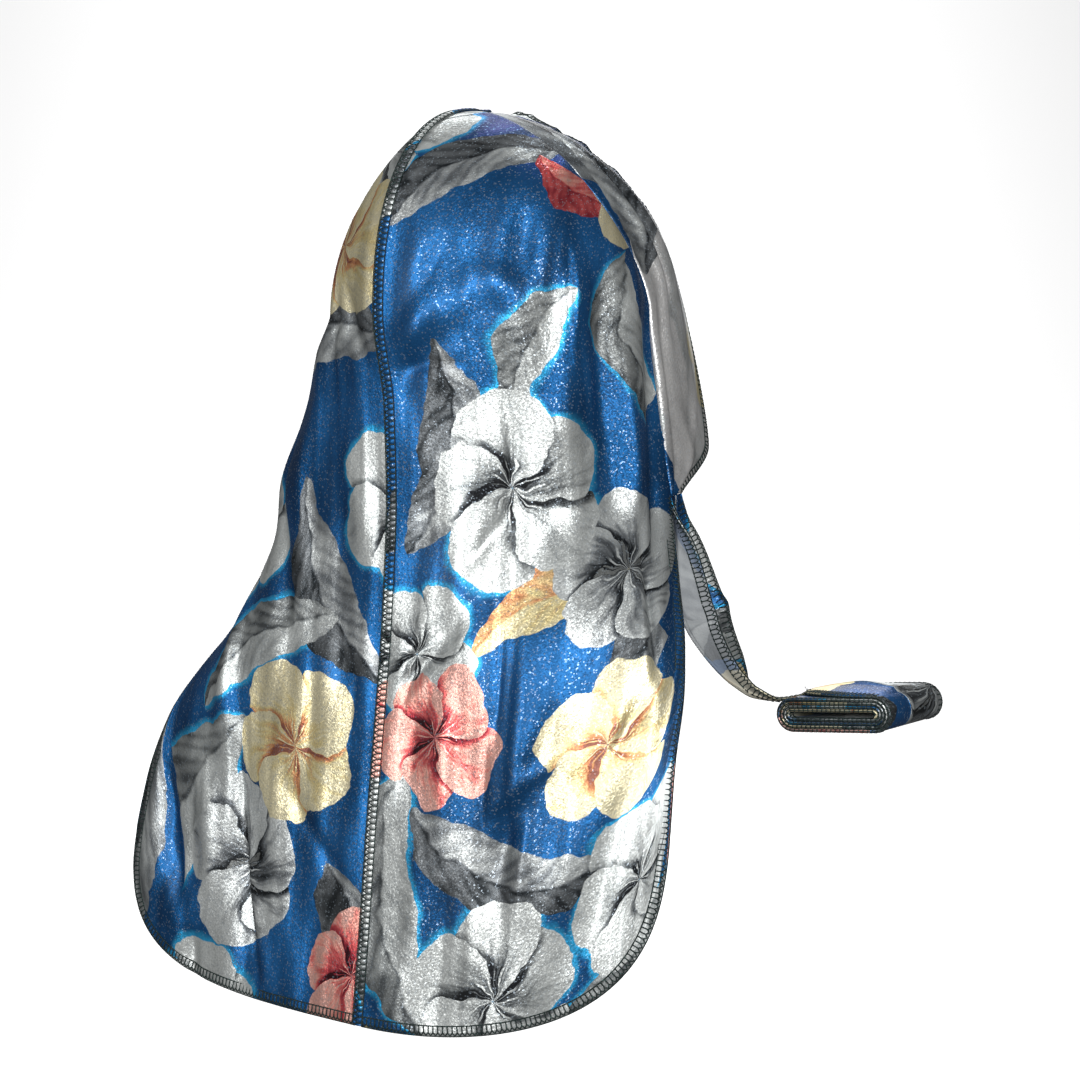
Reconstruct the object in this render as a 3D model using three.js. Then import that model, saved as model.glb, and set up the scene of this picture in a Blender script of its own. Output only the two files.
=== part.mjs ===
// A durag of printed velvet, shaped as it sits on a head, with a long tail and two rolled ties.
// Millimetres, +Z up. The origin is the top of the crown, where the head carries the cloth.
// The face looks along -Y, the tail hangs at +Y, and the wearer's right side is at -X.
import * as THREE from 'three';

// Cloth
const CLOTH = 1.2; // thickness of the velvet
const GAP = 0.3; // air between neighbouring pieces

// Crown and flanks
const CROWN_HALF_LENGTH = 103; // front to back, from the middle of the head
const CROWN_HALF_BREADTH = 83; // side to side, from the middle of the head
const CROWN_HEIGHT = 103; // from the top down to the widest level
const FLANK_DROP = 93; // from the widest level down to where the ties start
const SIDE_SEAM_ANGLE = 100; // degrees round from the centre back to the band seam
const SEAM_CORNER = 26; // the band seam crosses the top this far behind the middle
const SEAM_CORNER_RADIUS = 2.5; // the panels stop this far short of the corner, under the centre seam

// Tail
const TAIL_LENGTH = 260; // from where the ties start down to the end of the centre seam
const TAIL_HALF_WIDTH = 166;

// Folds and seam
const FOLD_DEPTH = 4; // height of a full fold
const FOLD_WIDTH = 8; // half width of a full fold
const SEAM_WIDTH = 6;
const FOLD_END = 0.35; // height of a fold at its ends, share of its height in the middle
const BAND_PUFF = 8; // how far the band stands off its chord at the side
const BAND_CENTRE = 1.4; // depth of the point that the band bulges away from, share of CROWN_HEIGHT
const BAND_RISE = 0.4; // how much of the bulge goes upwards

// Ties
const TIE_WIDTH = 62;
const TIE_FOLD_SHARE = 0.42; // the lengthwise fold, as a share of the width from the near edge
const TIE_FOLD_ROUND = 7; // cloth taken up by the lengthwise fold
const ROLL_SIDEWAYS = 76; // from the root out to the middle of the roll's near face
const ROLL_FORWARD = 31; // from the root forward to the near face
const ROLL_DROP = 110; // from the root down to the middle of the roll
const ROLL_LENGTH = 66; // long side of the flat roll
const ROLL_HEIGHT = 19.5; // thickness of the flat roll
const ROLL_TURNS = 4;
const ROLL_PITCH = 1.8; // from one layer to the next
const ROLL_YAW = 5; // degrees the roll is turned about the vertical
const ROLL_TILT = 4; // degrees the outer end of the roll is raised
const ROLL_PUFF = 5; // rise of the outer layer over the middle of the roll

const RIGHT = -1;
const LEFT = 1;

// Plan sections of the two panels, top to bottom.
// level: 1 is the widest level of the crown, 2 is the level of the ties, 3 is the lowest point of the hem
// seam: distance of the centre seam behind the middle, share of CROWN_HALF_LENGTH
// spread: side edge, share of the way from the crown's side out to TAIL_HALF_WIDTH
// edge: side edge behind the middle, share of CROWN_HALF_LENGTH
// heading: degrees, direction of the section as it reaches the side edge, 0 sideways and 90 forwards
// seamPull, edgePull: fullness of the section near the seam and near the edge, share of the chord
const SECTION_COLUMNS = ['level', 'seam', 'spread', 'edge', 'heading', 'seamPull', 'edgePull'];
const RIGHT_SECTIONS = [
  [0.9, 0.97, 0.0, -0.174, 98, 0.354, 0.437],
  [1.0, 0.97, 0.0, -0.174, 98, 0.354, 0.437],
  [1.5, 0.895, 0.03, -0.2, 96, 0.36, 0.44],
  [2.0, 0.88, 0.055, -0.24, 92, 0.38, 0.44],
  [2.15, 0.9, 0.33, 0.0, 80, 0.38, 0.42],
  [2.27, 0.925, 0.58, 0.233, 66, 0.38, 0.4],
  [2.37, 0.955, 0.69, 0.37, 54, 0.37, 0.38],
  [2.47, 0.985, 0.74, 0.485, 44, 0.36, 0.36],
  [2.61, 1.03, 0.77, 0.56, 36, 0.34, 0.34],
  [2.78, 1.075, 0.785, 0.61, 30, 0.33, 0.33],
  [3.0, 1.14, 0.77, 0.64, 26, 0.33, 0.33],
];
const LEFT_SECTIONS = [
  [0.9, 0.97, 0.0, -0.174, 98, 0.37, 0.45],
  [1.0, 0.97, 0.0, -0.174, 98, 0.37, 0.45],
  [1.2, 0.935, 0.04, -0.18, 101, 0.5, 0.51],
  [1.5, 0.895, 0.09, -0.2, 103, 0.58, 0.57],
  [2.0, 0.88, 0.13, -0.24, 108, 0.74, 0.72],
  [2.15, 0.9, 0.4, 0.2, 98, 0.6, 0.56],
  [2.27, 0.925, 0.65, 0.58, 66, 0.46, 0.42],
  [2.37, 0.955, 0.82, 0.78, 40, 0.4, 0.38],
  [2.47, 0.985, 0.935, 0.93, 16, 0.36, 0.36],
  [2.61, 1.03, 1.04, 1.02, 2, 0.34, 0.34],
  [2.78, 1.075, 1.09, 1.08, 0, 0.33, 0.33],
  [3.0, 1.14, 1.07, 1.11, 0, 0.33, 0.33],
];

// Roundness of the crown in profile, round from the centre seam (0) to the band seam (1).
// 2 is an ellipse, more is fuller and less is flatter.
const RIGHT_ROUNDNESS = [
  [0, 2.2],
  [0.3, 2.0],
  [0.65, 1.8],
  [1, 1.65],
];
const LEFT_ROUNDNESS = [
  [0, 2.2],
  [0.3, 1.85],
  [0.65, 1.75],
  [1, 1.65],
];
const CROWN_ARC = 1.45; // cloth from the top down to the widest level, share of CROWN_HEIGHT
const PANEL_SPAN = 1.6; // cloth across a panel, share of CROWN_HALF_LENGTH
const SEAM_SWING = 0.8; // how late the band seam swings forward on its way down

// Hem: how far down the side edge ends, share of TAIL_LENGTH, and the roundness of the hem's corner
const RIGHT_HEM = { side: 0.56, round: 2.9 };
const LEFT_HEM = { side: 0.7, round: 3.8 };

// Folds of the cloth: a straight ridge (height above 0) or valley (below 0) between two places on a panel.
// Columns: down and across of its start, down and across of its end, width, height.
// down: 0 top, 1 widest level, 2 ties, 3 hem. across: 0 centre seam, 1 band seam or side edge.
// width: share of FOLD_WIDTH. height: share of FOLD_DEPTH.
const RIGHT_FOLDS = [
  [0.5, 1.0, 1.85, 0.99, 1.0, -1.0],
  [0.75, 0.66, 1.6, 0.61, 1.0, 0.7],
  [0.65, 0.53, 0.93, 0.5, 0.8, -0.7],
  [0.8, 0.79, 2.05, 0.72, 0.9, -0.7],
  [0.9, 0.88, 2.27, 0.82, 0.9, 0.7],
  [1.0, 0.96, 2.2, 0.92, 0.7, -0.8],
  [1.35, 0.42, 2.45, 0.47, 0.45, -0.4],
  [1.2, 0.05, 0.9, 0.36, 1.1, 1.0],
  [0.9, 0.36, 0.95, 0.5, 1.0, 0.8],
  [1.35, 0.06, 1.12, 0.26, 0.8, -0.8],
  [1.3, 0.05, 1.27, 0.28, 0.4, -0.4],
  [2.02, 0.41, 2.13, 0.27, 0.5, -0.5],
  [2.19, 0.3, 2.37, 0.08, 0.8, -0.8],
  [2.27, 0.2, 2.41, 0.1, 0.7, 0.6],
  [2.27, 0.49, 2.78, 0.55, 0.8, 0.7],
  [2.46, 0.63, 2.73, 0.44, 1.2, -0.9],
  [2.55, 0.77, 2.78, 0.68, 1.2, 0.8],
  [2.14, 0.88, 2.46, 0.91, 0.5, -0.7],
  [2.15, 0.84, 2.53, 0.94, 0.6, 0.7],
  [2.63, 0.83, 2.88, 0.78, 0.9, -0.6],
];
const LEFT_FOLDS = [
  [0.5, 1.0, 1.85, 0.99, 1.0, -1.0],
  [0.95, 0.16, 2.1, 0.12, 0.7, -0.7],
  [0.7, 0.3, 1.9, 0.28, 1.0, 0.6],
  [1.7, 0.44, 2.4, 0.38, 1.0, -1.1],
  [2.21, 0.72, 2.49, 0.69, 0.9, 0.8],
  [2.2, 0.24, 2.78, 0.19, 1.0, 0.5],
  [2.46, 0.6, 2.95, 0.48, 0.9, -1.4],
  [2.55, 0.74, 2.8, 0.64, 1.0, 0.8],
  [2.64, 0.92, 2.86, 0.78, 0.9, -1.0],
  [2.78, 0.67, 2.94, 0.76, 0.6, 0.5],
];

// Front edge of the band, from the middle of the head (0) down to the tie root (2).
// sideways: share of CROWN_HALF_BREADTH. back: behind the middle, share of CROWN_HALF_LENGTH.
// depth: below the top, share of CROWN_HEIGHT. puff: share of BAND_PUFF.
const BAND_COLUMNS = ['down', 'sideways', 'back', 'depth', 'puff'];
const RIGHT_BAND = [
  [0.0, 0.0, -0.28, 0.05, 0.4],
  [0.2, 0.19, -0.29, 0.12, 0.5],
  [0.4, 0.38, -0.33, 0.23, 0.7],
  [0.6, 0.55, -0.42, 0.38, 0.9],
  [0.8, 0.67, -0.52, 0.58, 0.95],
  [1.0, 0.73, -0.59, 0.78, 0.9],
  [1.3, 0.78, -0.64, 1.0, 0.9],
  [1.6, 0.86, -0.66, 1.28, 0.7],
  [1.85, 0.99, -0.62, 1.66, 0.3],
  [2.0, 1.04, -0.33, 1.89, 0.0],
];
const LEFT_BAND = [
  [0.0, 0.0, -0.28, 0.05, 0.4],
  [0.2, 0.19, -0.28, -0.03, 0.3],
  [0.4, 0.38, -0.3, 0.07, 0.4],
  [0.6, 0.54, -0.4, 0.28, 0.7],
  [0.8, 0.68, -0.52, 0.53, 0.9],
  [1.0, 0.76, -0.6, 0.76, 1.0],
  [1.3, 0.82, -0.66, 0.98, 1.0],
  [1.6, 0.89, -0.66, 1.28, 0.75],
  [1.85, 1.02, -0.62, 1.66, 0.3],
  [2.0, 1.11, -0.33, 1.89, 0.0],
];

// Hanging stretch of a tie, from its root to the top of the roll. The root's own row is as wide as the
// band's end.
// out, forward, down: shares of the way from the root to the roll. turn: degrees the width is swung outwards.
// open: degrees between the two layers. gather: share of TIE_WIDTH that the bunched cloth still has.
const TIE_COLUMNS = ['out', 'forward', 'down', 'turn', 'open', 'gather'];
const TIE_ROUTE = [
  [0.0, 0.0, 0.0, 0, 180, 0.15],
  [-0.01, 0.0, 0.12, 14, 100, 0.3],
  [-0.01, 0.01, 0.25, 26, 50, 0.48],
  [0.0, 0.06, 0.53, 40, 18, 0.68],
  [0.03, 0.12, 0.65, 46, 14, 0.72],
  [0.15, 0.28, 0.81, 48, 14, 0.58],
  [0.35, 0.49, 0.965, 36, 40, 0.4],
  [0.52, 0.63, 1.03, 0, 110, 0.28],
  [0.7, 0.8, 1.05, -20, 165, 0.26],
  [0.88, 0.93, 1.03, -14, 178, 0.32],
  [1.0, 1.0, 1.0, -5, 180, 0.45],
];

// Where the tie comes onto the roll it spreads out to its full width along the top.
// Each row: share of the way along the top, gather as above, puff as a share of ROLL_PUFF.
const ROLL_OPENING = [
  [0.0, 0.42, 0.2],
  [0.3, 0.7, 0.7],
  [0.65, 0.92, 1.0],
  [1.0, 1.0, 0.5],
];

// Facets
const CROWN_ROWS = 12;
const FLANK_ROWS = 7;
const TAIL_ROWS = 16;
const PANEL_COLUMNS = 19;
const EDGE_CROWDING = 1.4; // above 1 the columns crowd towards the side edge
const BAND_STEPS = 7;
const TIE_STEPS = 8;
const TIE_ROWS = 18;
const ARC_STEPS = 4;

// Colours of the cloth
const BLUE = '#1f4f9a';
const GREY = '#b9bcc0';
const DARK_THREAD = '#1d2b2d';

function mix(start, end, share) {
  return start + (end - start) * share;
}

function clamp(value, low, high) {
  return Math.min(Math.max(value, low), high);
}

function radians(degrees) {
  return (degrees * Math.PI) / 180;
}

function ease(share) {
  const inside = clamp(share, 0, 1);
  return inside * inside * (3 - 2 * inside);
}

// Smooth curve through the points (keys, values) that never swings past them.
function smoothCurve(keys, values, place) {
  const last = keys.length - 1;
  let index = 0;
  while (index < last - 1 && place >= keys[index + 1]) {
    index += 1;
  }
  const slope = (at) => (values[at + 1] - values[at]) / (keys[at + 1] - keys[at]);
  const tangent = (at) => {
    if (at === 0) return slope(0);
    if (at === last) return slope(last - 1);
    const before = slope(at - 1);
    const after = slope(at);
    return before * after <= 0 ? 0 : (2 * before * after) / (before + after);
  };
  const span = keys[index + 1] - keys[index];
  const share = clamp((place - keys[index]) / span, 0, 1);
  const rest = 1 - share;
  return (
    (1 + 2 * share) * rest * rest * values[index] +
    share * rest * rest * span * tangent(index) +
    share * share * (3 - 2 * share) * values[index + 1] +
    share * share * (share - 1) * span * tangent(index + 1)
  );
}

// Turns a table with named columns into one list per column.
function columns(names, rows) {
  const table = {};
  names.forEach((name, at) => {
    table[name] = rows.map((row) => row[at]);
  });
  return table;
}

// Height of a level: 1 the widest level, 2 the ties, 3 the lowest point of the hem.
function heightOf(level) {
  if (level <= 2) return -CROWN_HEIGHT - FLANK_DROP * (level - 1);
  return -CROWN_HEIGHT - FLANK_DROP - TAIL_LENGTH * (level - 2);
}

const SIDE_EDGE = CROWN_HALF_BREADTH * Math.sin(radians(SIDE_SEAM_ANGLE));
const SECTIONS = {
  [RIGHT]: columns(SECTION_COLUMNS, RIGHT_SECTIONS),
  [LEFT]: columns(SECTION_COLUMNS, LEFT_SECTIONS),
};
const FOLDS = { [RIGHT]: RIGHT_FOLDS, [LEFT]: LEFT_FOLDS };
const BANDS = {
  [RIGHT]: columns(BAND_COLUMNS, RIGHT_BAND),
  [LEFT]: columns(BAND_COLUMNS, LEFT_BAND),
};
const ROUNDNESS = {
  [RIGHT]: columns(['across', 'power'], RIGHT_ROUNDNESS),
  [LEFT]: columns(['across', 'power'], LEFT_ROUNDNESS),
};
const HEM = { [RIGHT]: RIGHT_HEM, [LEFT]: LEFT_HEM };

// Plan section of a panel at one height: a cubic from the centre seam round to the side edge.
function sectionPoint(side, height, across) {
  const table = SECTIONS[side];
  const depths = table.level.map((level) => -heightOf(level));
  const read = (name) => smoothCurve(depths, table[name], -height);
  const seam = new THREE.Vector2(0, read('seam') * CROWN_HALF_LENGTH);
  const edgeSideways = mix(SIDE_EDGE, TAIL_HALF_WIDTH, read('spread'));
  const edge = new THREE.Vector2(edgeSideways, read('edge') * CROWN_HALF_LENGTH);
  const chord = seam.distanceTo(edge);
  const heading = radians(read('heading'));
  const direction = new THREE.Vector2(Math.cos(heading), -Math.sin(heading));
  const seamHandle = seam.clone().add(new THREE.Vector2(read('seamPull') * chord, 0));
  const edgeHandle = edge.clone().addScaledVector(direction, -read('edgePull') * chord);
  const curve = new THREE.CubicBezierCurve(seam, seamHandle, edgeHandle, edge);
  const point = curve.getPoint(clamp(across, 0, 1));
  return new THREE.Vector2(side * point.x, point.y);
}

// Share of the tail's length that the hem reaches at one place across the panel.
function hemShare(side, across) {
  const { side: end, round } = HEM[side];
  return end + (1 - end) * (1 - clamp(across, 0, 1) ** round) ** (1 / round);
}

// Smooth form of a panel. down: 0 the top, 1 the widest level, 2 the ties, 3 the hem.
function plainPoint(side, down, across) {
  const power = smoothCurve(ROUNDNESS[side].across, ROUNDNESS[side].power, across);
  const angle = (clamp(down, 0, 1) * Math.PI) / 2;
  const reach = (Math.sin(angle) ** power + Math.cos(angle) ** power) ** (-1 / power);
  const outward = down < 1 ? reach * Math.sin(angle) : 1;
  let height = -CROWN_HEIGHT * (1 - reach * Math.cos(angle));
  if (down >= 1) height = -CROWN_HEIGHT - FLANK_DROP * (Math.min(down, 2) - 1);
  if (down >= 2) height -= TAIL_LENGTH * (down - 2) * hemShare(side, across);
  const section = sectionPoint(side, height, across);
  const back = outward ** (1 + SEAM_SWING * across * across);
  return new THREE.Vector3(section.x * outward, mix(SEAM_CORNER, section.y, back), height);
}

// Length of cloth down and across a panel, used to measure how far a place is from a fold.
function clothPlace(down, across) {
  const crown = CROWN_HEIGHT * CROWN_ARC * clamp(down, 0, 1);
  const flank = FLANK_DROP * clamp(down - 1, 0, 1);
  const tail = TAIL_LENGTH * Math.max(down - 2, 0);
  return new THREE.Vector2(across * CROWN_HALF_LENGTH * PANEL_SPAN, crown + flank + tail);
}

// Height of the folds at one place. They die out before the centre seam.
function foldHeight(side, down, across) {
  const place = clothPlace(down, across);
  let height = 0;
  for (const [startDown, startAcross, endDown, endAcross, width, rise] of FOLDS[side]) {
    const start = clothPlace(startDown, startAcross);
    const end = clothPlace(endDown, endAcross);
    const line = end.clone().sub(start);
    const along = clamp(place.clone().sub(start).dot(line) / line.lengthSq(), 0, 1);
    const distance = place.distanceTo(start.clone().addScaledVector(line, along));
    const taper = mix(FOLD_END, 1, Math.sin(Math.PI * along));
    height += rise * taper * Math.exp(-((distance / (width * FOLD_WIDTH)) ** 2));
  }
  return FOLD_DEPTH * height * ease(place.x / (2 * SEAM_WIDTH));
}

const PROBE = 0.004; // step used to feel the slope of the surface

function slopeNormal(side, downSlope, acrossSlope) {
  return acrossSlope.clone().cross(downSlope).multiplyScalar(side).normalize();
}

function panelPoint(side, down, across) {
  const above = plainPoint(side, Math.max(down - PROBE, 0), across);
  const below = plainPoint(side, down + PROBE, across);
  const before = plainPoint(side, down, Math.max(across - PROBE, 0));
  const after = plainPoint(side, down, Math.min(across + PROBE, 1));
  const normal = slopeNormal(side, below.sub(above), after.sub(before));
  return plainPoint(side, down, across).addScaledVector(normal, foldHeight(side, down, across));
}

// Normals of a grid of points from its neighbours. turn is 1 or -1 and picks the outer side.
function gridNormals(points, turn) {
  const lastRow = points.length - 1;
  const lastColumn = points[0].length - 1;
  return points.map((row, i) =>
    row.map((unused, j) => {
      const along = points[Math.min(i + 1, lastRow)][j].clone().sub(points[Math.max(i - 1, 0)][j]);
      const across = points[i][Math.min(j + 1, lastColumn)].clone().sub(points[i][Math.max(j - 1, 0)]);
      return across.cross(along).multiplyScalar(turn).normalize();
    }),
  );
}

// Closed solid of even thickness round a grid of points, outer side along the normals.
function clothGeometry(points, normals, turn) {
  const rows = points.length;
  const width = points[0].length;
  const positions = [];
  for (const half of [CLOTH / 2, -CLOTH / 2]) {
    for (let i = 0; i < rows; i += 1) {
      for (let j = 0; j < width; j += 1) {
        const corner = points[i][j].clone().addScaledVector(normals[i][j], half);
        positions.push(corner.x, corner.y, corner.z);
      }
    }
  }
  const outer = (i, j) => i * width + j;
  const inner = (i, j) => rows * width + i * width + j;
  const indices = [];
  const quad = (a, b, c, d) => {
    if (turn > 0) indices.push(a, b, c, a, c, d);
    else indices.push(a, c, b, a, d, c);
  };
  for (let i = 0; i < rows - 1; i += 1) {
    for (let j = 0; j < width - 1; j += 1) {
      quad(outer(i, j), outer(i, j + 1), outer(i + 1, j + 1), outer(i + 1, j));
      quad(inner(i, j), inner(i + 1, j), inner(i + 1, j + 1), inner(i, j + 1));
    }
  }
  for (let j = 0; j < width - 1; j += 1) {
    quad(inner(0, j), inner(0, j + 1), outer(0, j + 1), outer(0, j));
    quad(outer(rows - 1, j), outer(rows - 1, j + 1), inner(rows - 1, j + 1), inner(rows - 1, j));
  }
  for (let i = 0; i < rows - 1; i += 1) {
    quad(outer(i, 0), outer(i + 1, 0), inner(i + 1, 0), inner(i, 0));
    quad(inner(i, width - 1), inner(i + 1, width - 1), outer(i + 1, width - 1), outer(i, width - 1));
  }
  const geometry = new THREE.BufferGeometry();
  geometry.setAttribute('position', new THREE.Float32BufferAttribute(positions, 3));
  geometry.setIndex(indices);
  return geometry;
}

function clothMesh(name, geometry, colour, roughness) {
  const material = new THREE.MeshStandardMaterial({ color: colour, roughness, metalness: 0 });
  const mesh = new THREE.Mesh(geometry, material);
  mesh.name = name;
  return mesh;
}

// Stations down a panel. The first one leaves the corner free for the seam that covers it.
const FIRST_DOWN = (2 * SEAM_CORNER_RADIUS) / (Math.PI * CROWN_HALF_BREADTH);

function stations() {
  const list = [];
  for (let i = 0; i < CROWN_ROWS; i += 1) list.push(mix(FIRST_DOWN, 1, i / CROWN_ROWS));
  for (let i = 0; i < FLANK_ROWS; i += 1) list.push(1 + i / FLANK_ROWS);
  for (let i = 0; i <= TAIL_ROWS; i += 1) list.push(2 + i / TAIL_ROWS);
  return list;
}

const DOWN = stations();
const ROOT_ROW = CROWN_ROWS + FLANK_ROWS;
const ACROSS = Array.from(
  { length: PANEL_COLUMNS + 1 },
  (unused, j) => 1 - (1 - j / PANEL_COLUMNS) ** EDGE_CROWDING,
);

// One panel as a grid of points with normals, shared by the pieces that meet it.
function panelGrid(side) {
  const points = DOWN.map((down) => ACROSS.map((across) => panelPoint(side, down, across)));
  const normals = gridNormals(points, side);
  normals.forEach((row, i) => {
    row[0].x = 0;
    row[0].normalize();
    points[i][0].x = (side * GAP) / 2;
  });
  return { points, normals };
}

const GRIDS = { [RIGHT]: panelGrid(RIGHT), [LEFT]: panelGrid(LEFT) };

function panelMesh(name, side) {
  const { points, normals } = GRIDS[side];
  return clothMesh(name, clothGeometry(points, normals, side), BLUE, 0.5);
}

// Row of the band at one station: from the band seam forward to the front edge.
function bandRow(side, row) {
  const { points, normals } = GRIDS[side];
  const down = DOWN[row];
  const table = BANDS[side];
  const read = (name) => smoothCurve(table.down, table[name], down);
  const seam = points[row][PANEL_COLUMNS];
  const normal = normals[row][PANEL_COLUMNS];
  const along = points[row + 1][PANEL_COLUMNS].clone().sub(points[Math.max(row - 1, 0)][PANEL_COLUMNS]);
  const away = along.cross(normal).multiplyScalar(side).normalize();
  const start = seam.clone().addScaledVector(away, GAP);
  const edge = new THREE.Vector3(
    side * read('sideways') * CROWN_HALF_BREADTH,
    read('back') * CROWN_HALF_LENGTH,
    -read('depth') * CROWN_HEIGHT,
  );
  const centre = new THREE.Vector3(0, 0, -BAND_CENTRE * CROWN_HEIGHT);
  const outward = start.clone().add(edge).multiplyScalar(0.5).sub(centre);
  outward.z *= BAND_RISE;
  outward.normalize();
  const list = [];
  for (let j = 0; j <= BAND_STEPS; j += 1) {
    const share = j / BAND_STEPS;
    const lift = Math.sin(Math.PI * share) * read('puff') * BAND_PUFF;
    list.push(start.clone().lerp(edge, share).addScaledVector(outward, lift));
  }
  return list;
}

function bandGrid() {
  const rows = [];
  const rims = [];
  for (let row = ROOT_ROW; row >= 0; row -= 1) {
    rows.push(bandRow(RIGHT, row));
    rims.push(GRIDS[RIGHT].normals[row][PANEL_COLUMNS]);
  }
  for (let row = 0; row <= ROOT_ROW; row += 1) {
    rows.push(bandRow(LEFT, row));
    rims.push(GRIDS[LEFT].normals[row][PANEL_COLUMNS]);
  }
  const normals = gridNormals(rows, 1);
  rims.forEach((rim, i) => {
    normals[i][0].copy(rim);
  });
  for (const end of [0, normals.length - 1]) {
    normals[end].forEach((normal) => normal.copy(rims[end]));
  }
  return { points: rows, normals };
}

const BAND = bandGrid();

function bandMesh(name) {
  return clothMesh(name, clothGeometry(BAND.points, BAND.normals, 1), GREY, 0.5);
}

// The centre seam lies on the outer face, from the hem up the back and over the corner onto the band.
function seamMesh(name) {
  const middle = DOWN.map((down) => panelPoint(RIGHT, down, 0)).reverse();
  const normals = GRIDS[RIGHT].normals.map((row) => row[0]).reverse();
  for (const column of [0, 1]) {
    const right = BAND.points[ROOT_ROW][column];
    const left = BAND.points[ROOT_ROW + 1][column];
    middle.push(right.clone().lerp(left, 0.5));
    normals.push(new THREE.Vector3(0, 0, 1));
  }
  const lift = CLOTH + GAP;
  const points = middle.map((place, i) => {
    const centre = place.clone().addScaledVector(normals[i], lift);
    return [-0.5, 0, 0.5].map((share) => centre.clone().add(new THREE.Vector3(share * SEAM_WIDTH, 0, 0)));
  });
  const sides = points.map((row, i) => row.map(() => normals[i]));
  return clothMesh(name, clothGeometry(points, sides, -1), DARK_THREAD, 0.7);
}

// Places of the facets across a tie, measured from the lengthwise fold, close together at the fold.
function tiePlaces(width) {
  const near = TIE_FOLD_SHARE * width;
  const far = width - near;
  const round = Math.min(TIE_FOLD_ROUND, near) / 2;
  const before = [-near, -mix(near, round, 0.5), -round, -round / 2];
  const after = [round / 2, round, mix(round, far, 0.5), far];
  const places = [...before, 0, ...after];
  return { places, round };
}

// Cross-section of a tie in its own plane: the near layer, the lengthwise fold and the far layer.
// Each point is (along the width, along the normal), measured from the middle of the fold.
function tieSection(openDegrees, width) {
  const { places, round } = tiePlaces(width);
  const bend = Math.max(radians(180 - openDegrees), 0.001);
  const radius = (2 * round) / bend;
  const onSection = (place) => {
    if (place >= round) return new THREE.Vector2(place - round, 0);
    const inFold = Math.max(place, -round);
    const turned = (bend * (round - inFold)) / (2 * round);
    const beyond = inFold - place;
    return new THREE.Vector2(
      -radius * Math.sin(turned) - beyond * Math.cos(bend),
      radius * (1 - Math.cos(turned)) + beyond * Math.sin(bend),
    );
  };
  const middle = onSection(0);
  return places.map((place) => onSection(place).sub(middle));
}

// One row of a tie: the section set on the fold's path, square to the path.
function tieRow(side, station, tangent) {
  const across = station.across.clone().addScaledVector(tangent, -tangent.dot(station.across)).normalize();
  const normal = tangent.clone().cross(across).multiplyScalar(-side);
  const section = tieSection(station.open, station.gather * TIE_WIDTH);
  return section.map((point, j) => {
    const puff = station.puff * Math.sin((Math.PI * j) / TIE_STEPS);
    return station.fold
      .clone()
      .addScaledVector(across, point.x)
      .addScaledVector(normal, point.y + puff);
  });
}

// Direction in the plan, turned outwards from straight ahead.
function ahead(side, degrees) {
  return new THREE.Vector3(side * Math.sin(radians(degrees)), -Math.cos(radians(degrees)), 0);
}

// The flat roll: layers wound inwards, from the top of the near end round and round.
function rollStations(side, nearFace) {
  const across = ahead(side, -ROLL_YAW);
  const level = ahead(side, 90 - ROLL_YAW);
  const rise = new THREE.Vector3(0, 0, 1);
  const tilt = radians(ROLL_TILT);
  const outward = level.clone().multiplyScalar(Math.cos(tilt)).addScaledVector(rise, Math.sin(tilt));
  const up = rise.clone().multiplyScalar(Math.cos(tilt)).addScaledVector(level, -Math.sin(tilt));
  const half = (ROLL_LENGTH - ROLL_HEIGHT) / 2;
  const fold = nearFace.clone().addScaledVector(across, TIE_FOLD_SHARE * TIE_WIDTH);
  const list = [];
  const add = (shape, length, height) => {
    const place = fold.clone().addScaledVector(outward, length).addScaledVector(up, height);
    list.push({ fold: place, across, ...shape });
  };
  const flat = { open: 180, gather: 1, puff: 0 };
  let radius = (ROLL_HEIGHT - CLOTH) / 2;
  ROLL_OPENING.forEach(([share, gather, puff]) => {
    add({ open: 180, gather, puff: puff * ROLL_PUFF }, mix(-half, half, share), radius);
  });
  for (let halfTurn = 0; halfTurn < 2 * ROLL_TURNS; halfTurn += 1) {
    const end = halfTurn % 2 === 0 ? 1 : -1;
    for (let step = 0; step <= ARC_STEPS; step += 1) {
      const angle = (Math.PI * step) / ARC_STEPS;
      const here = radius - (ROLL_PITCH / 2) * (step / ARC_STEPS);
      const skip = halfTurn === 0 && step === 0;
      if (!skip) add(flat, end * (half + here * Math.sin(angle)), end * here * Math.cos(angle));
    }
    radius -= ROLL_PITCH / 2;
  }
  return list;
}

// The hanging stretch: from under the end of the band down to the top of the roll.
function hangingStations(side, root, entry) {
  const table = columns(TIE_COLUMNS, TIE_ROUTE);
  const keys = TIE_ROUTE.map((unused, i) => i);
  const reach = entry.clone().sub(root.fold);
  const list = [];
  for (let i = 1; i < TIE_ROWS; i += 1) {
    const place = (keys.length - 1) * (i / TIE_ROWS);
    const read = (name) => smoothCurve(keys, table[name], place);
    const fold = new THREE.Vector3(reach.x * read('out'), reach.y * read('forward'), reach.z * read('down'));
    list.push({
      fold: fold.add(root.fold),
      across: ahead(side, read('turn')),
      open: read('open'),
      gather: read('gather'),
      puff: 0,
    });
  }
  return list;
}

// Root of a tie: as wide as the end of the band, just below it.
function tieRoot(side) {
  const end = side === RIGHT ? 0 : BAND.points.length - 1;
  const start = BAND.points[end][0];
  const finish = BAND.points[end][BAND_STEPS];
  const normal = BAND.normals[end][0];
  const across = finish.clone().sub(start);
  const width = across.length();
  across.normalize();
  const below = normal.clone().cross(across).multiplyScalar(side).normalize();
  const fold = start.clone().addScaledVector(across, TIE_FOLD_SHARE * width).addScaledVector(below, GAP);
  return { fold, across, normal, below, open: 180, gather: width / TIE_WIDTH, puff: 0 };
}

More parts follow.
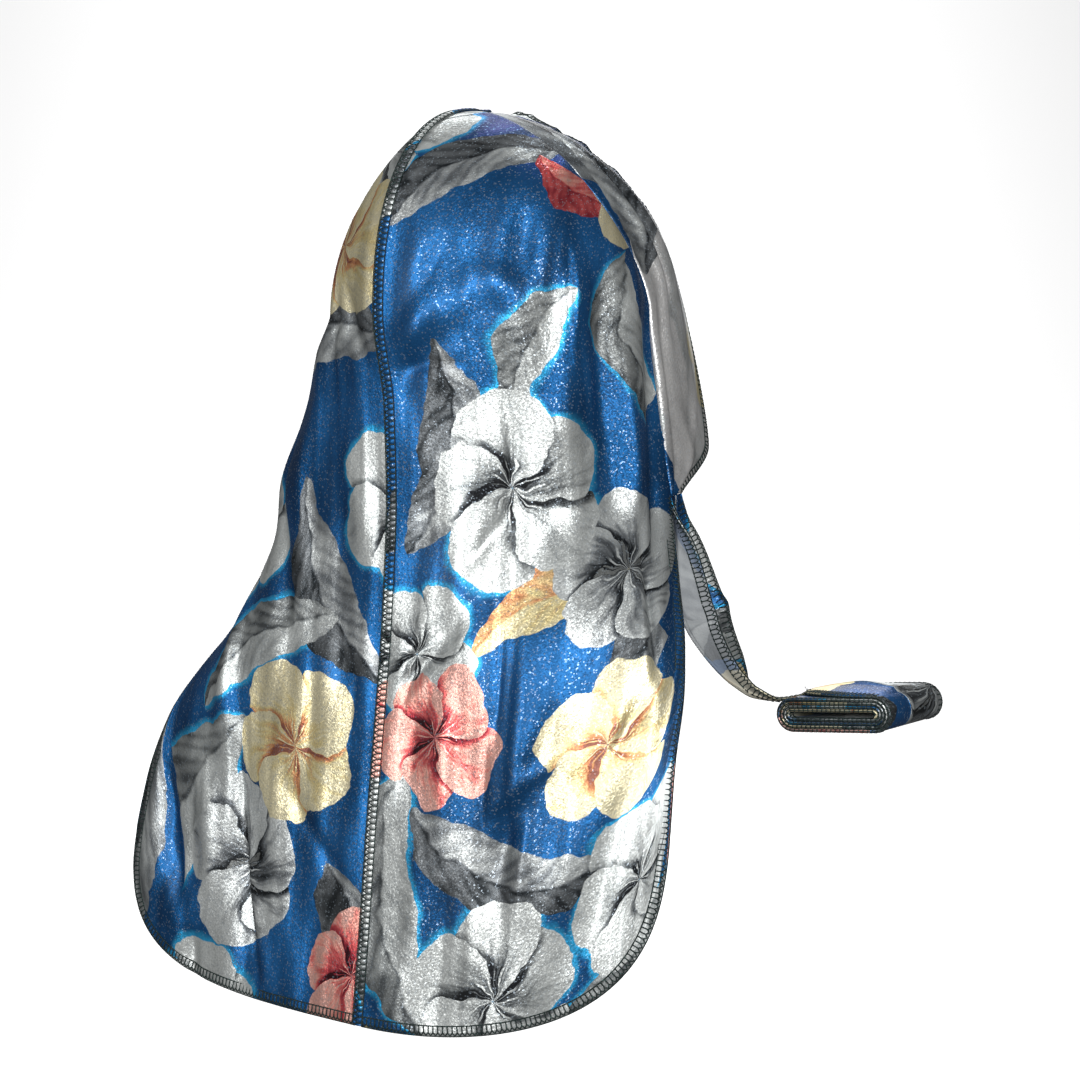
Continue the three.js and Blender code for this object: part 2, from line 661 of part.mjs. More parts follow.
function tieMesh(name, side) {
  const root = tieRoot(side);
  const nearFace = new THREE.Vector3(
    root.fold.x + side * ROLL_SIDEWAYS,
    root.fold.y - ROLL_FORWARD,
    root.fold.z - ROLL_DROP,
  );
  const roll = rollStations(side, nearFace);
  const list = [root, ...hangingStations(side, root, roll[0].fold), ...roll];
  const last = list.length - 1;
  const points = list.map((station, i) => {
    const after = list[Math.min(i + 1, last)].fold;
    const before = list[Math.max(i - 1, 0)].fold;
    const tangent = i === 0 ? root.below : after.clone().sub(before).normalize();
    return tieRow(side, station, tangent);
  });
  const normals = gridNormals(points, -side);
  normals[0].forEach((normal) => normal.copy(root.normal));
  return clothMesh(name, clothGeometry(points, normals, -side), GREY, 0.5);
}

const durag = new THREE.Group();
durag.add(panelMesh('panel_right', RIGHT));
durag.add(panelMesh('panel_left', LEFT));
durag.add(seamMesh('center_seam'));
durag.add(bandMesh('front_band'));
durag.add(tieMesh('tie_right', RIGHT));
durag.add(tieMesh('tie_left', LEFT));

export default durag;
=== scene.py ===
import math

import bpy
import numpy as np
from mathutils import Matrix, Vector


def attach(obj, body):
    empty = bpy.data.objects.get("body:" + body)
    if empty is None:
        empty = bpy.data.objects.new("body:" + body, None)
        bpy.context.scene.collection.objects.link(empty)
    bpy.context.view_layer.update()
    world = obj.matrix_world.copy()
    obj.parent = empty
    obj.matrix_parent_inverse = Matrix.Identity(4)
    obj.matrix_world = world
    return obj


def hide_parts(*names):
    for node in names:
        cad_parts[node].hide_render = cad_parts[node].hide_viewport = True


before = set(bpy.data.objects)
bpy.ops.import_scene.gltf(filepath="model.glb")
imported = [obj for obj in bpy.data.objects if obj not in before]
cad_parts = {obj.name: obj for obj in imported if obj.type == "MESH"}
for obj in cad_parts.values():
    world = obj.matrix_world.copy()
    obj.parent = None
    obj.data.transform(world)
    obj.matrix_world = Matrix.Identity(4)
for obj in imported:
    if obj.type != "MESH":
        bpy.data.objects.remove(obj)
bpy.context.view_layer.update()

# The imported solids, before anything is dressed. Metres, +Z up, origin at the top of the crown.
bpy.ops.object.select_all(action="DESELECT")

# Camera
# It stands behind the wearer and to their right, level with the nape, 1.25 m off. The head's axis is a
# little left of the middle of the picture, so it aims beside the axis.
AZIMUTH, ELEVATION, DISTANCE = 220, 4, 1.25
AIM_HEIGHT, AIM_ASIDE = -0.221, 0.0158
LENS = 78.96

turned, raised = math.radians(AZIMUTH), math.radians(ELEVATION)
rightwards = Vector((math.cos(turned), math.sin(turned), 0))
level_back = Vector((math.sin(turned), -math.cos(turned), 0))
backwards = level_back * math.cos(raised) + Vector((0, 0, math.sin(raised)))
axis_point = Vector((0, 0, AIM_HEIGHT))
bpy.ops.object.camera_add(location=axis_point + backwards * DISTANCE)
camera = bpy.context.object
looking = axis_point + rightwards * AIM_ASIDE - camera.location
camera.rotation_euler = looking.to_track_quat("-Z", "Y").to_euler()
camera.data.lens = LENS
bpy.context.scene.camera = camera

# Crown and tail panels
# Two halves of stretch velvet, each cut in one piece from the top of the crown to the hem. They are sewn
# together up the back and stretched over the head, and below the nape they hang free in long folds.
CLOTH = 0.0012
GAP = 0.0003
CROWN_HALF_LENGTH, CROWN_HALF_BREADTH, CROWN_HEIGHT = 0.103, 0.083, 0.103
FLANK_DROP, TAIL_LENGTH, TAIL_HALF_WIDTH = 0.093, 0.260, 0.166
SIDE_EDGE = CROWN_HALF_BREADTH * math.sin(math.radians(100))
SEAM_CORNER, SEAM_CORNER_RADIUS = 0.026, 0.0025
SEAM_WIDTH = 0.006
FOLD_DEPTH, FOLD_WIDTH, FOLD_END = 0.004, 0.008, 0.35
CROWN_ARC, PANEL_SPAN, SEAM_SWING = 1.45, 1.6, 0.8
RIGHT, LEFT = -1, 1

# Level curves of each panel. Down is 0 at the top of the crown, 1 at its foot, 2 at the root of the tie and 3
# at the hem: down, seam, spread, edge, heading, fullness by the seam, fullness by the edge.
SECTIONS = {
    RIGHT: [
        (0.9, 0.97, 0.0, -0.174, 98, 0.354, 0.437),
        (1.0, 0.97, 0.0, -0.174, 98, 0.354, 0.437),
        (1.5, 0.895, 0.03, -0.2, 96, 0.36, 0.44),
        (2.0, 0.88, 0.055, -0.24, 92, 0.38, 0.44),
        (2.15, 0.9, 0.33, 0.0, 80, 0.38, 0.42),
        (2.27, 0.925, 0.58, 0.233, 66, 0.38, 0.4),
        (2.37, 0.955, 0.69, 0.37, 54, 0.37, 0.38),
        (2.47, 0.985, 0.74, 0.485, 44, 0.36, 0.36),
        (2.61, 1.03, 0.77, 0.56, 36, 0.34, 0.34),
        (2.78, 1.075, 0.785, 0.61, 30, 0.33, 0.33),
        (3.0, 1.14, 0.77, 0.64, 26, 0.33, 0.33),
    ],
    LEFT: [
        (0.9, 0.97, 0.0, -0.174, 98, 0.37, 0.45),
        (1.0, 0.97, 0.0, -0.174, 98, 0.37, 0.45),
        (1.2, 0.935, 0.04, -0.18, 101, 0.5, 0.51),
        (1.5, 0.895, 0.09, -0.2, 103, 0.58, 0.57),
        (2.0, 0.88, 0.13, -0.24, 108, 0.74, 0.72),
        (2.15, 0.9, 0.4, 0.2, 98, 0.6, 0.56),
        (2.27, 0.925, 0.65, 0.58, 66, 0.46, 0.42),
        (2.37, 0.955, 0.82, 0.78, 40, 0.4, 0.38),
        (2.47, 0.985, 0.935, 0.93, 16, 0.36, 0.36),
        (2.61, 1.03, 1.04, 1.02, 2, 0.34, 0.34),
        (2.78, 1.075, 1.09, 1.08, 0, 0.33, 0.33),
        (3.0, 1.14, 1.07, 1.11, 0, 0.33, 0.33),
    ],
}
# Place across the panel, and how full the crown is there in profile.
ROUNDNESS = {
    RIGHT: [(0, 2.2), (0.3, 2.0), (0.65, 1.8), (1, 1.65)],
    LEFT: [(0, 2.2), (0.3, 1.85), (0.65, 1.75), (1, 1.65)],
}
# Where the side edge of the tail ends, share of its length, and how round the corner of the hem is.
HEM = {RIGHT: (0.56, 2.9), LEFT: (0.7, 3.8)}
# Folds: down and across where each starts, down and across where it ends, width, height.
FOLDS = {
    RIGHT: [
        (0.5, 1.0, 1.85, 0.99, 1.0, -1.0),
        (0.75, 0.66, 1.6, 0.61, 1.0, 0.7),
        (0.65, 0.53, 0.93, 0.5, 0.8, -0.7),
        (0.8, 0.79, 2.05, 0.72, 0.9, -0.7),
        (0.9, 0.88, 2.27, 0.82, 0.9, 0.7),
        (1.0, 0.96, 2.2, 0.92, 0.7, -0.8),
        (1.35, 0.42, 2.45, 0.47, 0.45, -0.4),
        (1.2, 0.05, 0.9, 0.36, 1.1, 1.0),
        (0.9, 0.36, 0.95, 0.5, 1.0, 0.8),
        (1.35, 0.06, 1.12, 0.26, 0.8, -0.8),
        (1.3, 0.05, 1.27, 0.28, 0.4, -0.4),
        (2.02, 0.41, 2.13, 0.27, 0.5, -0.5),
        (2.19, 0.3, 2.37, 0.08, 0.8, -0.8),
        (2.27, 0.2, 2.41, 0.1, 0.7, 0.6),
        (2.27, 0.49, 2.78, 0.55, 0.8, 0.7),
        (2.46, 0.63, 2.73, 0.44, 1.2, -0.9),
        (2.55, 0.77, 2.78, 0.68, 1.2, 0.8),
        (2.14, 0.88, 2.46, 0.91, 0.5, -0.7),
        (2.15, 0.84, 2.53, 0.94, 0.6, 0.7),
        (2.63, 0.83, 2.88, 0.78, 0.9, -0.6),
    ],
    LEFT: [
        (0.5, 1.0, 1.85, 0.99, 1.0, -1.0),
        (0.95, 0.16, 2.1, 0.12, 0.7, -0.7),
        (0.7, 0.3, 1.9, 0.28, 1.0, 0.6),
        (1.7, 0.44, 2.4, 0.38, 1.0, -1.1),
        (2.21, 0.72, 2.49, 0.69, 0.9, 0.8),
        (2.2, 0.24, 2.78, 0.19, 1.0, 0.5),
        (2.46, 0.6, 2.95, 0.48, 0.9, -1.4),
        (2.55, 0.74, 2.8, 0.64, 1.0, 0.8),
        (2.64, 0.92, 2.86, 0.78, 0.9, -1.0),
        (2.78, 0.67, 2.94, 0.76, 0.6, 0.5),
    ],
}

# Creases and narrow ridges between the folds, in the same terms. They are finer than the solid carries.
CREASES = {
    RIGHT: [
        (0.69, 0.49, 0.99, 0.44, 0.7, -0.5),
        (0.74, 0.57, 1.3, 0.53, 1.0, 0.35),
        (0.8, 0.655, 1.26, 0.63, 0.25, -0.24),
        (0.8, 0.68, 1.3, 0.645, 0.25, 0.2),
        (0.81, 0.74, 1.55, 0.74, 0.6, -0.45),
        (1.2, 0.84, 2.06, 0.85, 0.28, 0.28),
        (1.91, 0.88, 2.13, 0.89, 0.25, 0.24),
        (2.0, 0.85, 2.2, 0.865, 0.3, -0.3),
        (1.64, 0.43, 2.11, 0.39, 0.3, -0.25),
        (2.05, 0.39, 2.45, 0.43, 0.35, -0.5),
        (2.31, 0.03, 2.21, 0.23, 0.3, -0.35),
        (2.33, 0.05, 2.26, 0.19, 0.3, 0.3),
        (2.35, 0.07, 2.29, 0.19, 0.3, -0.25),
        (2.16, 0.88, 2.41, 0.925, 0.3, -0.5),
        (2.16, 0.85, 2.38, 0.89, 0.35, 0.35),
        (2.43, 0.86, 2.54, 0.8, 0.6, -0.6),
        (2.4, 0.6, 2.53, 0.55, 0.6, -0.6),
        (2.49, 0.63, 2.57, 0.43, 0.6, 0.5),
        (2.54, 0.56, 2.75, 0.55, 0.3, 0.32),
        (2.4, 0.4, 2.65, 0.41, 0.35, -0.35),
        (2.61, 0.93, 2.73, 0.94, 0.35, 0.3),
        (0.79, 0.23, 0.95, 0.14, 0.7, -0.6),
        (0.96, 0.25, 1.2, 0.17, 0.7, -0.5),
        (2.56, 0.5, 2.69, 0.49, 1.0, -0.5),
        (2.59, 0.76, 2.84, 0.74, 1.0, 0.4),
    ],
    LEFT: [
        (0.92, 0.2, 1.32, 0.04, 0.6, -0.6),
        (0.91, 0.26, 1.65, 0.18, 0.4, -0.5),
        (1.47, 0.15, 2.01, 0.1, 0.5, 0.35),
        (1.55, 0.1, 2.01, 0.08, 0.4, -0.3),
        (2.26, 0.18, 2.39, 0.15, 0.9, -0.5),
        (2.32, 0.11, 2.42, 0.11, 0.4, -0.3),
        (2.5, 0.63, 2.67, 0.56, 0.4, -0.7),
        (2.67, 0.56, 2.96, 0.43, 0.4, -0.9),
        (2.52, 0.58, 2.7, 0.51, 0.5, 0.4),
        (2.7, 0.51, 2.96, 0.38, 0.5, 0.5),
        (2.64, 0.9, 2.75, 0.81, 0.6, -0.6),
        (2.75, 0.81, 2.88, 0.8, 0.6, -0.6),
        (2.9, 0.74, 3.0, 0.71, 0.6, -0.6),
        (2.57, 0.37, 2.77, 0.05, 0.6, -0.5),
        (2.73, 0.59, 2.95, 0.53, 1.2, -0.4),
        (2.13, 0.31, 2.29, 0.47, 0.6, -0.4),
        (2.28, 0.28, 2.52, 0.32, 0.5, 0.35),
    ],
}


def smooth_curve(keys, values, place):
    """A smooth curve through a table's values that never swings past them."""
    keys, values = np.asarray(keys, float), np.asarray(values, float)
    place = np.clip(np.asarray(place, float), keys[0], keys[-1])
    slopes = np.diff(values) / np.diff(keys)
    tangents = np.concatenate([slopes[:1], np.zeros(len(keys) - 2), slopes[-1:]])
    for at in range(1, len(keys) - 1):
        before, after = slopes[at - 1], slopes[at]
        if before * after > 0:
            tangents[at] = 2 * before * after / (before + after)
    index = np.clip(np.searchsorted(keys, place, side="right") - 1, 0, len(keys) - 2)
    span = keys[index + 1] - keys[index]
    share = (place - keys[index]) / span
    rest = 1 - share
    return (
        (1 + 2 * share) * rest**2 * values[index]
        + share * rest**2 * span * tangents[index]
        + share**2 * (3 - 2 * share) * values[index + 1]
        + share**2 * (share - 1) * span * tangents[index + 1]
    )


def ease(share):
    """Rises softly from 0 to 1."""
    inside = np.clip(share, 0, 1)
    return inside * inside * (3 - 2 * inside)


def unit(vectors):
    return vectors / np.maximum(np.linalg.norm(vectors, axis=-1, keepdims=True), 1e-12)


def height_of(level):
    return -CROWN_HEIGHT - FLANK_DROP * (np.minimum(level, 2) - 1) - TAIL_LENGTH * np.maximum(level - 2, 0)


def section_point(side, height, across):
    """Where a level curve of the panel runs, as a Bezier curve from the centre seam to the side edge."""
    table = np.array(SECTIONS[side])
    depths = -height_of(table[:, 0])
    seam, spread, edge, heading, seam_pull, edge_pull = (
        smooth_curve(depths, table[:, column], -height) for column in range(1, 7)
    )
    start = np.stack([0 * seam, seam * CROWN_HALF_LENGTH], -1)
    end = np.stack([SIDE_EDGE + (TAIL_HALF_WIDTH - SIDE_EDGE) * spread, edge * CROWN_HALF_LENGTH], -1)
    chord = np.linalg.norm(end - start, axis=-1)
    turn = np.radians(heading)
    towards = np.stack([np.cos(turn), -np.sin(turn)], -1)
    near = start + np.stack([seam_pull * chord, 0 * chord], -1)
    far = end - towards * (edge_pull * chord)[..., None]
    t = np.clip(across, 0, 1)[..., None]
    point = (1 - t) ** 3 * start + 3 * (1 - t) ** 2 * t * near + 3 * (1 - t) * t**2 * far + t**3 * end
    return side * point[..., 0], point[..., 1]


def plain_point(side, down, across):
    """The panel without its folds: a rounded crown, a straight flank and a tail with a curved hem."""
    power = smooth_curve(*zip(*ROUNDNESS[side]), across)
    angle = np.clip(down, 0, 1) * math.pi / 2
    reach = (np.sin(angle) ** power + np.abs(np.cos(angle)) ** power) ** (-1 / power)
    outward = np.where(down < 1, reach * np.sin(angle), 1.0)
    end, corner = HEM[side]
    hem = end + (1 - end) * (1 - np.clip(across, 0, 1) ** corner) ** (1 / corner)
    height = np.where(down < 1, -CROWN_HEIGHT * (1 - reach * np.cos(angle)), 0)
    height = np.where(down >= 1, -CROWN_HEIGHT - FLANK_DROP * (np.minimum(down, 2) - 1), height)
    height = height - TAIL_LENGTH * np.maximum(down - 2, 0) * hem
    sideways, back = section_point(side, height, across)
    swing = outward ** (1 + SEAM_SWING * across**2)
    return np.stack([sideways * outward, SEAM_CORNER + (back - SEAM_CORNER) * swing, height], -1)


def cloth_place(down, across):
    """Roughly where a point lies on the flat cloth, for the widths of the folds."""
    along = CROWN_HEIGHT * CROWN_ARC * np.clip(down, 0, 1) + FLANK_DROP * np.clip(down - 1, 0, 1)
    along = along + TAIL_LENGTH * np.maximum(down - 2, 0)
    return np.stack([across * CROWN_HALF_LENGTH * PANEL_SPAN, along], -1)


def fold_height(folds, down, across):
    """How far the cloth stands off its plain form: each fold is a ridge that fades at its sides and ends."""
    place = cloth_place(down, across)
    height = np.zeros(down.shape)
    for start_down, start_across, end_down, end_across, width, rise in folds:
        start = cloth_place(np.float64(start_down), np.float64(start_across))
        line = cloth_place(np.float64(end_down), np.float64(end_across)) - start
        along = np.clip((place - start) @ line / (line @ line), 0, 1)
        distance = np.linalg.norm(place - start - along[..., None] * line, axis=-1)
        taper = FOLD_END + (1 - FOLD_END) * np.sin(math.pi * along)
        height += rise * taper * np.exp(-((distance / (width * FOLD_WIDTH)) ** 2))
    return FOLD_DEPTH * height * ease(place[..., 0] / (2 * SEAM_WIDTH))


NEARBY = 0.004


def panel_point(side, down, across):
    """The panel with its folds, which rise square to the plain form as its nearby points show it."""
    above = plain_point(side, np.maximum(down - NEARBY, 0), across)
    below = plain_point(side, down + NEARBY, across)
    before = plain_point(side, down, np.maximum(across - NEARBY, 0))
    after = plain_point(side, down, np.minimum(across + NEARBY, 1))
    normal = unit(side * np.cross(after - before, below - above))
    height = fold_height(FOLDS[side] + CREASES[side], down, across)
    return plain_point(side, down, across) + normal * height[..., None]


def grid_normals(points, turn):
    along = np.gradient(points, axis=0)
    across = np.gradient(points, axis=1)
    return unit(turn * np.cross(across, along))


CROWN_ROWS, FLANK_ROWS, TAIL_ROWS, PANEL_COLUMNS, EDGE_CROWDING = 76, 46, 138, 108, 1.4
FIRST_DOWN = 2 * SEAM_CORNER_RADIUS / (math.pi * CROWN_HALF_BREADTH)
DOWN = np.concatenate([
    np.linspace(FIRST_DOWN, 1, CROWN_ROWS, endpoint=False),
    np.linspace(1, 2, FLANK_ROWS, endpoint=False),
    np.linspace(2, 3, TAIL_ROWS + 1),
])
ACROSS = 1 - (1 - np.linspace(0, 1, PANEL_COLUMNS + 1)) ** EDGE_CROWDING
ROOT_ROW = CROWN_ROWS + FLANK_ROWS


def panel_grid(side):
    """The panel's points and normals, held flat and in place along the centre seam."""
    down, across = np.meshgrid(DOWN, ACROSS, indexing="ij")
    points = panel_point(side, down, across)
    normals = grid_normals(points, side)
    normals[:, 0, 0] = 0
    normals[:, 0] = unit(normals[:, 0])
    points[:, 0, 0] = side * GAP / 2
    return points, normals


GRIDS = {side: panel_grid(side) for side in (RIGHT, LEFT)}


def cloth_lengths(points):
    """Lengths along the cloth, across each row and down a column a third of the way over."""
    across = np.cumsum(np.linalg.norm(np.diff(points, axis=1, prepend=points[:, :1]), axis=-1), axis=1)
    middle = points.shape[1] // 3
    down = np.cumsum(np.linalg.norm(np.diff(points[:, middle], axis=0, prepend=points[:1, middle]), axis=-1))
    return across, np.repeat(down[:, None], points.shape[1], axis=1)


def cut_cloth(name, points, normals, print_place):
    """A flat grid of cloth laid to its points, with the print's coordinates in metres, outer side out."""
    rows, columns = points.shape[:2]
    bpy.ops.mesh.primitive_grid_add(x_subdivisions=columns - 1, y_subdivisions=rows - 1, size=1)
    piece = bpy.context.object
    piece.name = name
    mesh = piece.data
    flat = np.empty(len(mesh.vertices) * 3)
    mesh.vertices.foreach_get("co", flat)
    flat = flat.reshape(-1, 3)
    column = np.rint((flat[:, 0] + 0.5) * (columns - 1)).astype(int)
    row = np.rint((flat[:, 1] + 0.5) * (rows - 1)).astype(int)
    mesh.vertices.foreach_set("co", points[row, column].ravel())
    corner = np.empty(len(mesh.loops), int)
    mesh.loops.foreach_get("vertex_index", corner)
    mesh.uv_layers[0].data.foreach_set("uv", print_place[row, column][corner].ravel())
    mesh.update()
    middle = mesh.polygons[len(mesh.polygons) // 2]
    if np.dot(middle.normal, normals[row, column][middle.vertices[0]]) < 0:
        bpy.ops.object.mode_set(mode="EDIT")
        bpy.ops.mesh.select_all(action="SELECT")
        bpy.ops.mesh.flip_normals()
        bpy.ops.object.mode_set(mode="OBJECT")
    return piece


def finish_cloth(piece, face, back, thickness=CLOTH):
    """Gives the cloth its thickness, the printed pile outside and the knitted back inside."""
    piece.data.materials.clear()
    piece.data.materials.append(face)
    piece.data.materials.append(back)
    bpy.ops.object.modifier_add(type="SOLIDIFY")
    wall = piece.modifiers[-1]
    wall.thickness = thickness
    wall.offset = 0
    wall.material_offset = 1
    bpy.ops.object.modifier_apply(modifier=wall.name)
    bpy.ops.object.shade_smooth()
    piece.select_set(False)


def linear(hex_colour):
    """An sRGB colour as the linear one that the shader takes."""
    channels = [int(hex_colour[at:at + 2], 16) / 255 for at in (1, 3, 5)]
    return [c / 12.92 if c <= 0.04045 else ((c + 0.055) / 1.055) ** 2.4 for c in channels] + [1.0]


def add_node(tree, kind, *feeds, named=None, **settings):
    """Adds a node with its settings, fed in order by other nodes, by their sockets or with plain values."""
    node = tree.nodes.new("ShaderNode" + kind)
    for setting, value in settings.items():
        setattr(node, setting, value)
    for place, value in [*enumerate(feeds), *(named or {}).items()]:
        if isinstance(value, bpy.types.Node):
            value = value.outputs[0]
        if isinstance(value, bpy.types.NodeSocket):
            tree.links.new(value, node.inputs[place])
        else:
            node.inputs[place].default_value = value
    return node


# How a Map Range node eases from one value into the other.
SOFT_STEP = {"interpolation_type": "SMOOTHSTEP"}


def new_group(name, takes, gives):
    """A node group with its sockets, each given by name and kind, and what its inside reads and writes."""
    tree = bpy.data.node_groups.new(name, "ShaderNodeTree")
    for in_out, sockets in (("INPUT", takes), ("OUTPUT", gives)):
        for socket, kind in sockets.items():
            tree.interface.new_socket(name=socket, in_out=in_out, socket_type="NodeSocket" + kind)
    return tree, tree.nodes.new("NodeGroupInput").outputs, tree.nodes.new("NodeGroupOutput").inputs


# The print repeats every 420 by 560 mm of cloth. For each point of the cloth, this finds the motif of a layer
# that reaches it, with 0 at the motif's middle and 1 at its reach.
REPEAT = (0.42, 0.56, 1.0)
motif, given, result = new_group(
    "motif_place",
    {"Place": "Vector", "Centre": "Vector", "Turn": "Float", "Reach": "Float", "Slim": "Vector",
     "Traits": "Vector", "Other Local": "Vector", "Other Traits": "Vector"},
    {"Local": "Vector", "Traits": "Vector"})
half = [length / 2 for length in REPEAT]
offset = add_node(motif, "VectorMath", given["Place"], given["Centre"], operation="SUBTRACT")
nearest = add_node(motif, "VectorMath", offset, half, [-length for length in half], operation="WRAP")
turned = add_node(motif, "VectorRotate", nearest, named={"Angle": given["Turn"]}, rotation_type="Z_AXIS")
local = add_node(motif, "VectorMath", turned, given["Reach"], operation="DIVIDE")
slimmed = add_node(motif, "VectorMath", local, given["Slim"], operation="MULTIPLY")
far = add_node(motif, "VectorMath", slimmed, operation="LENGTH").outputs["Value"]
reached = add_node(motif, "Math", far, 1.0, operation="LESS_THAN")
for output, own, other in (("Local", local.outputs[0], given["Other Local"]),
                           ("Traits", given["Traits"], given["Other Traits"])):
    chosen = add_node(motif, "Mix", reached, named={4: other, 5: own}, data_type="VECTOR")
    motif.links.new(chosen.outputs[1], result[output])

# One petal: broad and blunt, dark at its root, streaked along its veins, with a pale curled rim.
petal, given, result = new_group(
    "petal", {"Aside": "Float", "Out": "Float", "Chance": "Float"}, {"Inside": "Float", "Tone": "Float"})
off_rib = add_node(petal, "Math", given["Aside"], operation="ABSOLUTE")
share = add_node(petal, "Math", off_rib, 0.64, operation="DIVIDE")
fall = add_node(petal, "Math", share, 2.4, operation="POWER")
blunt = add_node(petal, "Math", fall, -0.36, 1.0, operation="MULTIPLY_ADD")
longer = add_node(petal, "Math", given["Chance"], 0.2, 0.78, operation="MULTIPLY_ADD")
rim = add_node(petal, "Math", blunt, longer, operation="MULTIPLY")
to_end = add_node(petal, "Math", rim, given["Out"], operation="SUBTRACT")
breadth = add_node(petal, "Math", 0.64, off_rib, operation="SUBTRACT")
to_side = add_node(petal, "Math", breadth, given["Out"], operation="MULTIPLY")
inside = add_node(petal, "Math", to_end, to_side, 0.08, operation="SMOOTH_MIN")
opening = add_node(petal, "MapRange", given["Out"], 0.03, 0.66, 0.0, 0.72, **SOFT_STEP)
vein_aside = add_node(petal, "Math", given["Aside"], 4.5, operation="MULTIPLY")
vein_place = add_node(petal, "CombineXYZ", vein_aside, given["Out"], given["Chance"])
veins = add_node(petal, "TexNoise", named={"Vector": vein_place, "Scale": 2.6, "Detail": 3.0})
veined = add_node(petal, "Math", veins, 1.1, -0.42, operation="MULTIPLY_ADD")
tilted = add_node(petal, "Math", given["Aside"], 0.3, veined, operation="MULTIPLY_ADD")
paler = add_node(petal, "Math", given["Chance"], 0.28, tilted, operation="MULTIPLY_ADD")
curled = add_node(petal, "MapRange", inside, 0.0, 0.07, 0.16, 0.0, **SOFT_STEP)
lit = add_node(petal, "Math", paler, curled, operation="ADD")
tone = add_node(petal, "Math", opening, lit, operation="ADD")
petal.links.new(inside.outputs[0], result["Inside"])
petal.links.new(tone.outputs[0], result["Tone"])

# A blossom: each petal lies over the next one round and shades it, and pale filaments stand in the heart.
# Its traits are its reach in metres, its dye and how many petals it has.
blossom, given, result = new_group(
    "blossom", {"Local": "Vector", "Traits": "Vector"}, {"Inside": "Float", "Tone": "Float"})
parts = add_node(blossom, "SeparateXYZ", given["Local"]).outputs
traits = add_node(blossom, "SeparateXYZ", given["Traits"]).outputs
out = add_node(blossom, "VectorMath", given["Local"], operation="LENGTH").outputs["Value"]
angle = add_node(blossom, "Math", parts["Y"], parts["X"], operation="ARCTAN2")
turns = add_node(blossom, "Math", angle, traits["Z"], operation="MULTIPLY")
swept = add_node(blossom, "Math", out, 0.24, operation="MULTIPLY")
around = add_node(blossom, "Math", turns, 1 / (2 * math.pi), swept, operation="MULTIPLY_ADD")
count = add_node(blossom, "Math", around, operation="FLOOR")
within = add_node(blossom, "Math", around, operation="FRACT")
petals = []
for back, aside in ((1, 0.5), (0, -0.5)):
    counted = add_node(blossom, "Math", count, -back, operation="ADD")
    own = add_node(blossom, "Math", counted, traits["Z"], operation="FLOORED_MODULO")
    seed = add_node(blossom, "Math", traits["X"], 977.0, own, operation="MULTIPLY_ADD")
    chance = add_node(blossom, "TexWhiteNoise", named={"W": seed}, noise_dimensions="1D").outputs["Value"]
    place = add_node(blossom, "Math", within, aside, operation="ADD")
    petals.append(add_node(blossom, "Group", named={0: place, 1: out, 2: chance}, node_tree=petal).outputs)
over, under = petals
shade = add_node(blossom, "MapRange", over["Inside"], -0.16, 0.0, 0.0, 0.5, **SOFT_STEP)
shaded = add_node(blossom, "Math", under["Tone"], shade, operation="SUBTRACT")
front = add_node(blossom, "MapRange", over["Inside"], -0.006, 0.006, **SOFT_STEP)
drawn = add_node(blossom, "Mix", front, named={2: shaded, 3: over["Tone"]}, data_type="FLOAT")
inside = add_node(blossom, "Math", over["Inside"], under["Inside"], operation="MAXIMUM")
filament_turns = add_node(blossom, "Math", around, 3.0, operation="MULTIPLY")
between = add_node(blossom, "Math", filament_turns, 0.5, operation="PINGPONG")
thin = add_node(blossom, "MapRange", between, 0.05, 0.16, 0.75, 0.0, **SOFT_STEP)
short = add_node(blossom, "MapRange", out, 0.2, 0.3, 1.0, 0.0, **SOFT_STEP)
filaments = add_node(blossom, "Math", thin, short, operation="MULTIPLY")
clouds = add_node(blossom, "TexNoise", named={"Vector": given["Local"], "Scale": 2.1, "Detail": 2.0})
clouded = add_node(blossom, "Math", clouds, 1.7, -0.85, operation="MULTIPLY_ADD")
washed = add_node(blossom, "Math", drawn.outputs[0], clouded, operation="ADD")
tone = add_node(blossom, "Math", washed, filaments, operation="ADD")
deep = add_node(blossom, "Math", inside, traits["X"], operation="MULTIPLY")
blossom.links.new(deep.outputs[0], result["Inside"])
blossom.links.new(tone.outputs[0], result["Tone"])

# A leaf: bowed and pointed at both ends, with a midrib and side veins. Its third trait is its bow.
leaf, given, result = new_group(
    "leaf", {"Local": "Vector", "Traits": "Vector"}, {"Inside": "Float", "Tone": "Float"})
parts = add_node(leaf, "SeparateXYZ", given["Local"]).outputs
traits = add_node(leaf, "SeparateXYZ", given["Traits"]).outputs
along = add_node(leaf, "Math", parts["X"], operation="ABSOLUTE")
squared = add_node(leaf, "Math", along, 2.0, operation="POWER")
slimming = add_node(leaf, "Math", 1.0, squared, operation="SUBTRACT")
taper = add_node(leaf, "Math", slimming, 0.0, operation="MAXIMUM")
bow = add_node(leaf, "Math", taper, traits["Z"], operation="MULTIPLY")
aside = add_node(leaf, "Math", parts["Y"], bow, operation="SUBTRACT")
off_rib = add_node(leaf, "Math", aside, operation="ABSOLUTE")
rounded = add_node(leaf, "Math", taper, 0.75, operation="POWER")
half_breadth = add_node(leaf, "Math", rounded, 0.33, operation="MULTIPLY")
to_edge = add_node(leaf, "Math", half_breadth, off_rib, operation="SUBTRACT")
past = add_node(leaf, "Math", slimming, 0.0, operation="MINIMUM")
inside = add_node(leaf, "Math", to_edge, past, operation="ADD")
slanted = add_node(leaf, "Math", off_rib, -7.0, operation="MULTIPLY")
vein_turns = add_node(leaf, "Math", parts["X"], 5.0, slanted, operation="MULTIPLY_ADD")
between = add_node(leaf, "Math", vein_turns, 0.5, operation="PINGPONG")
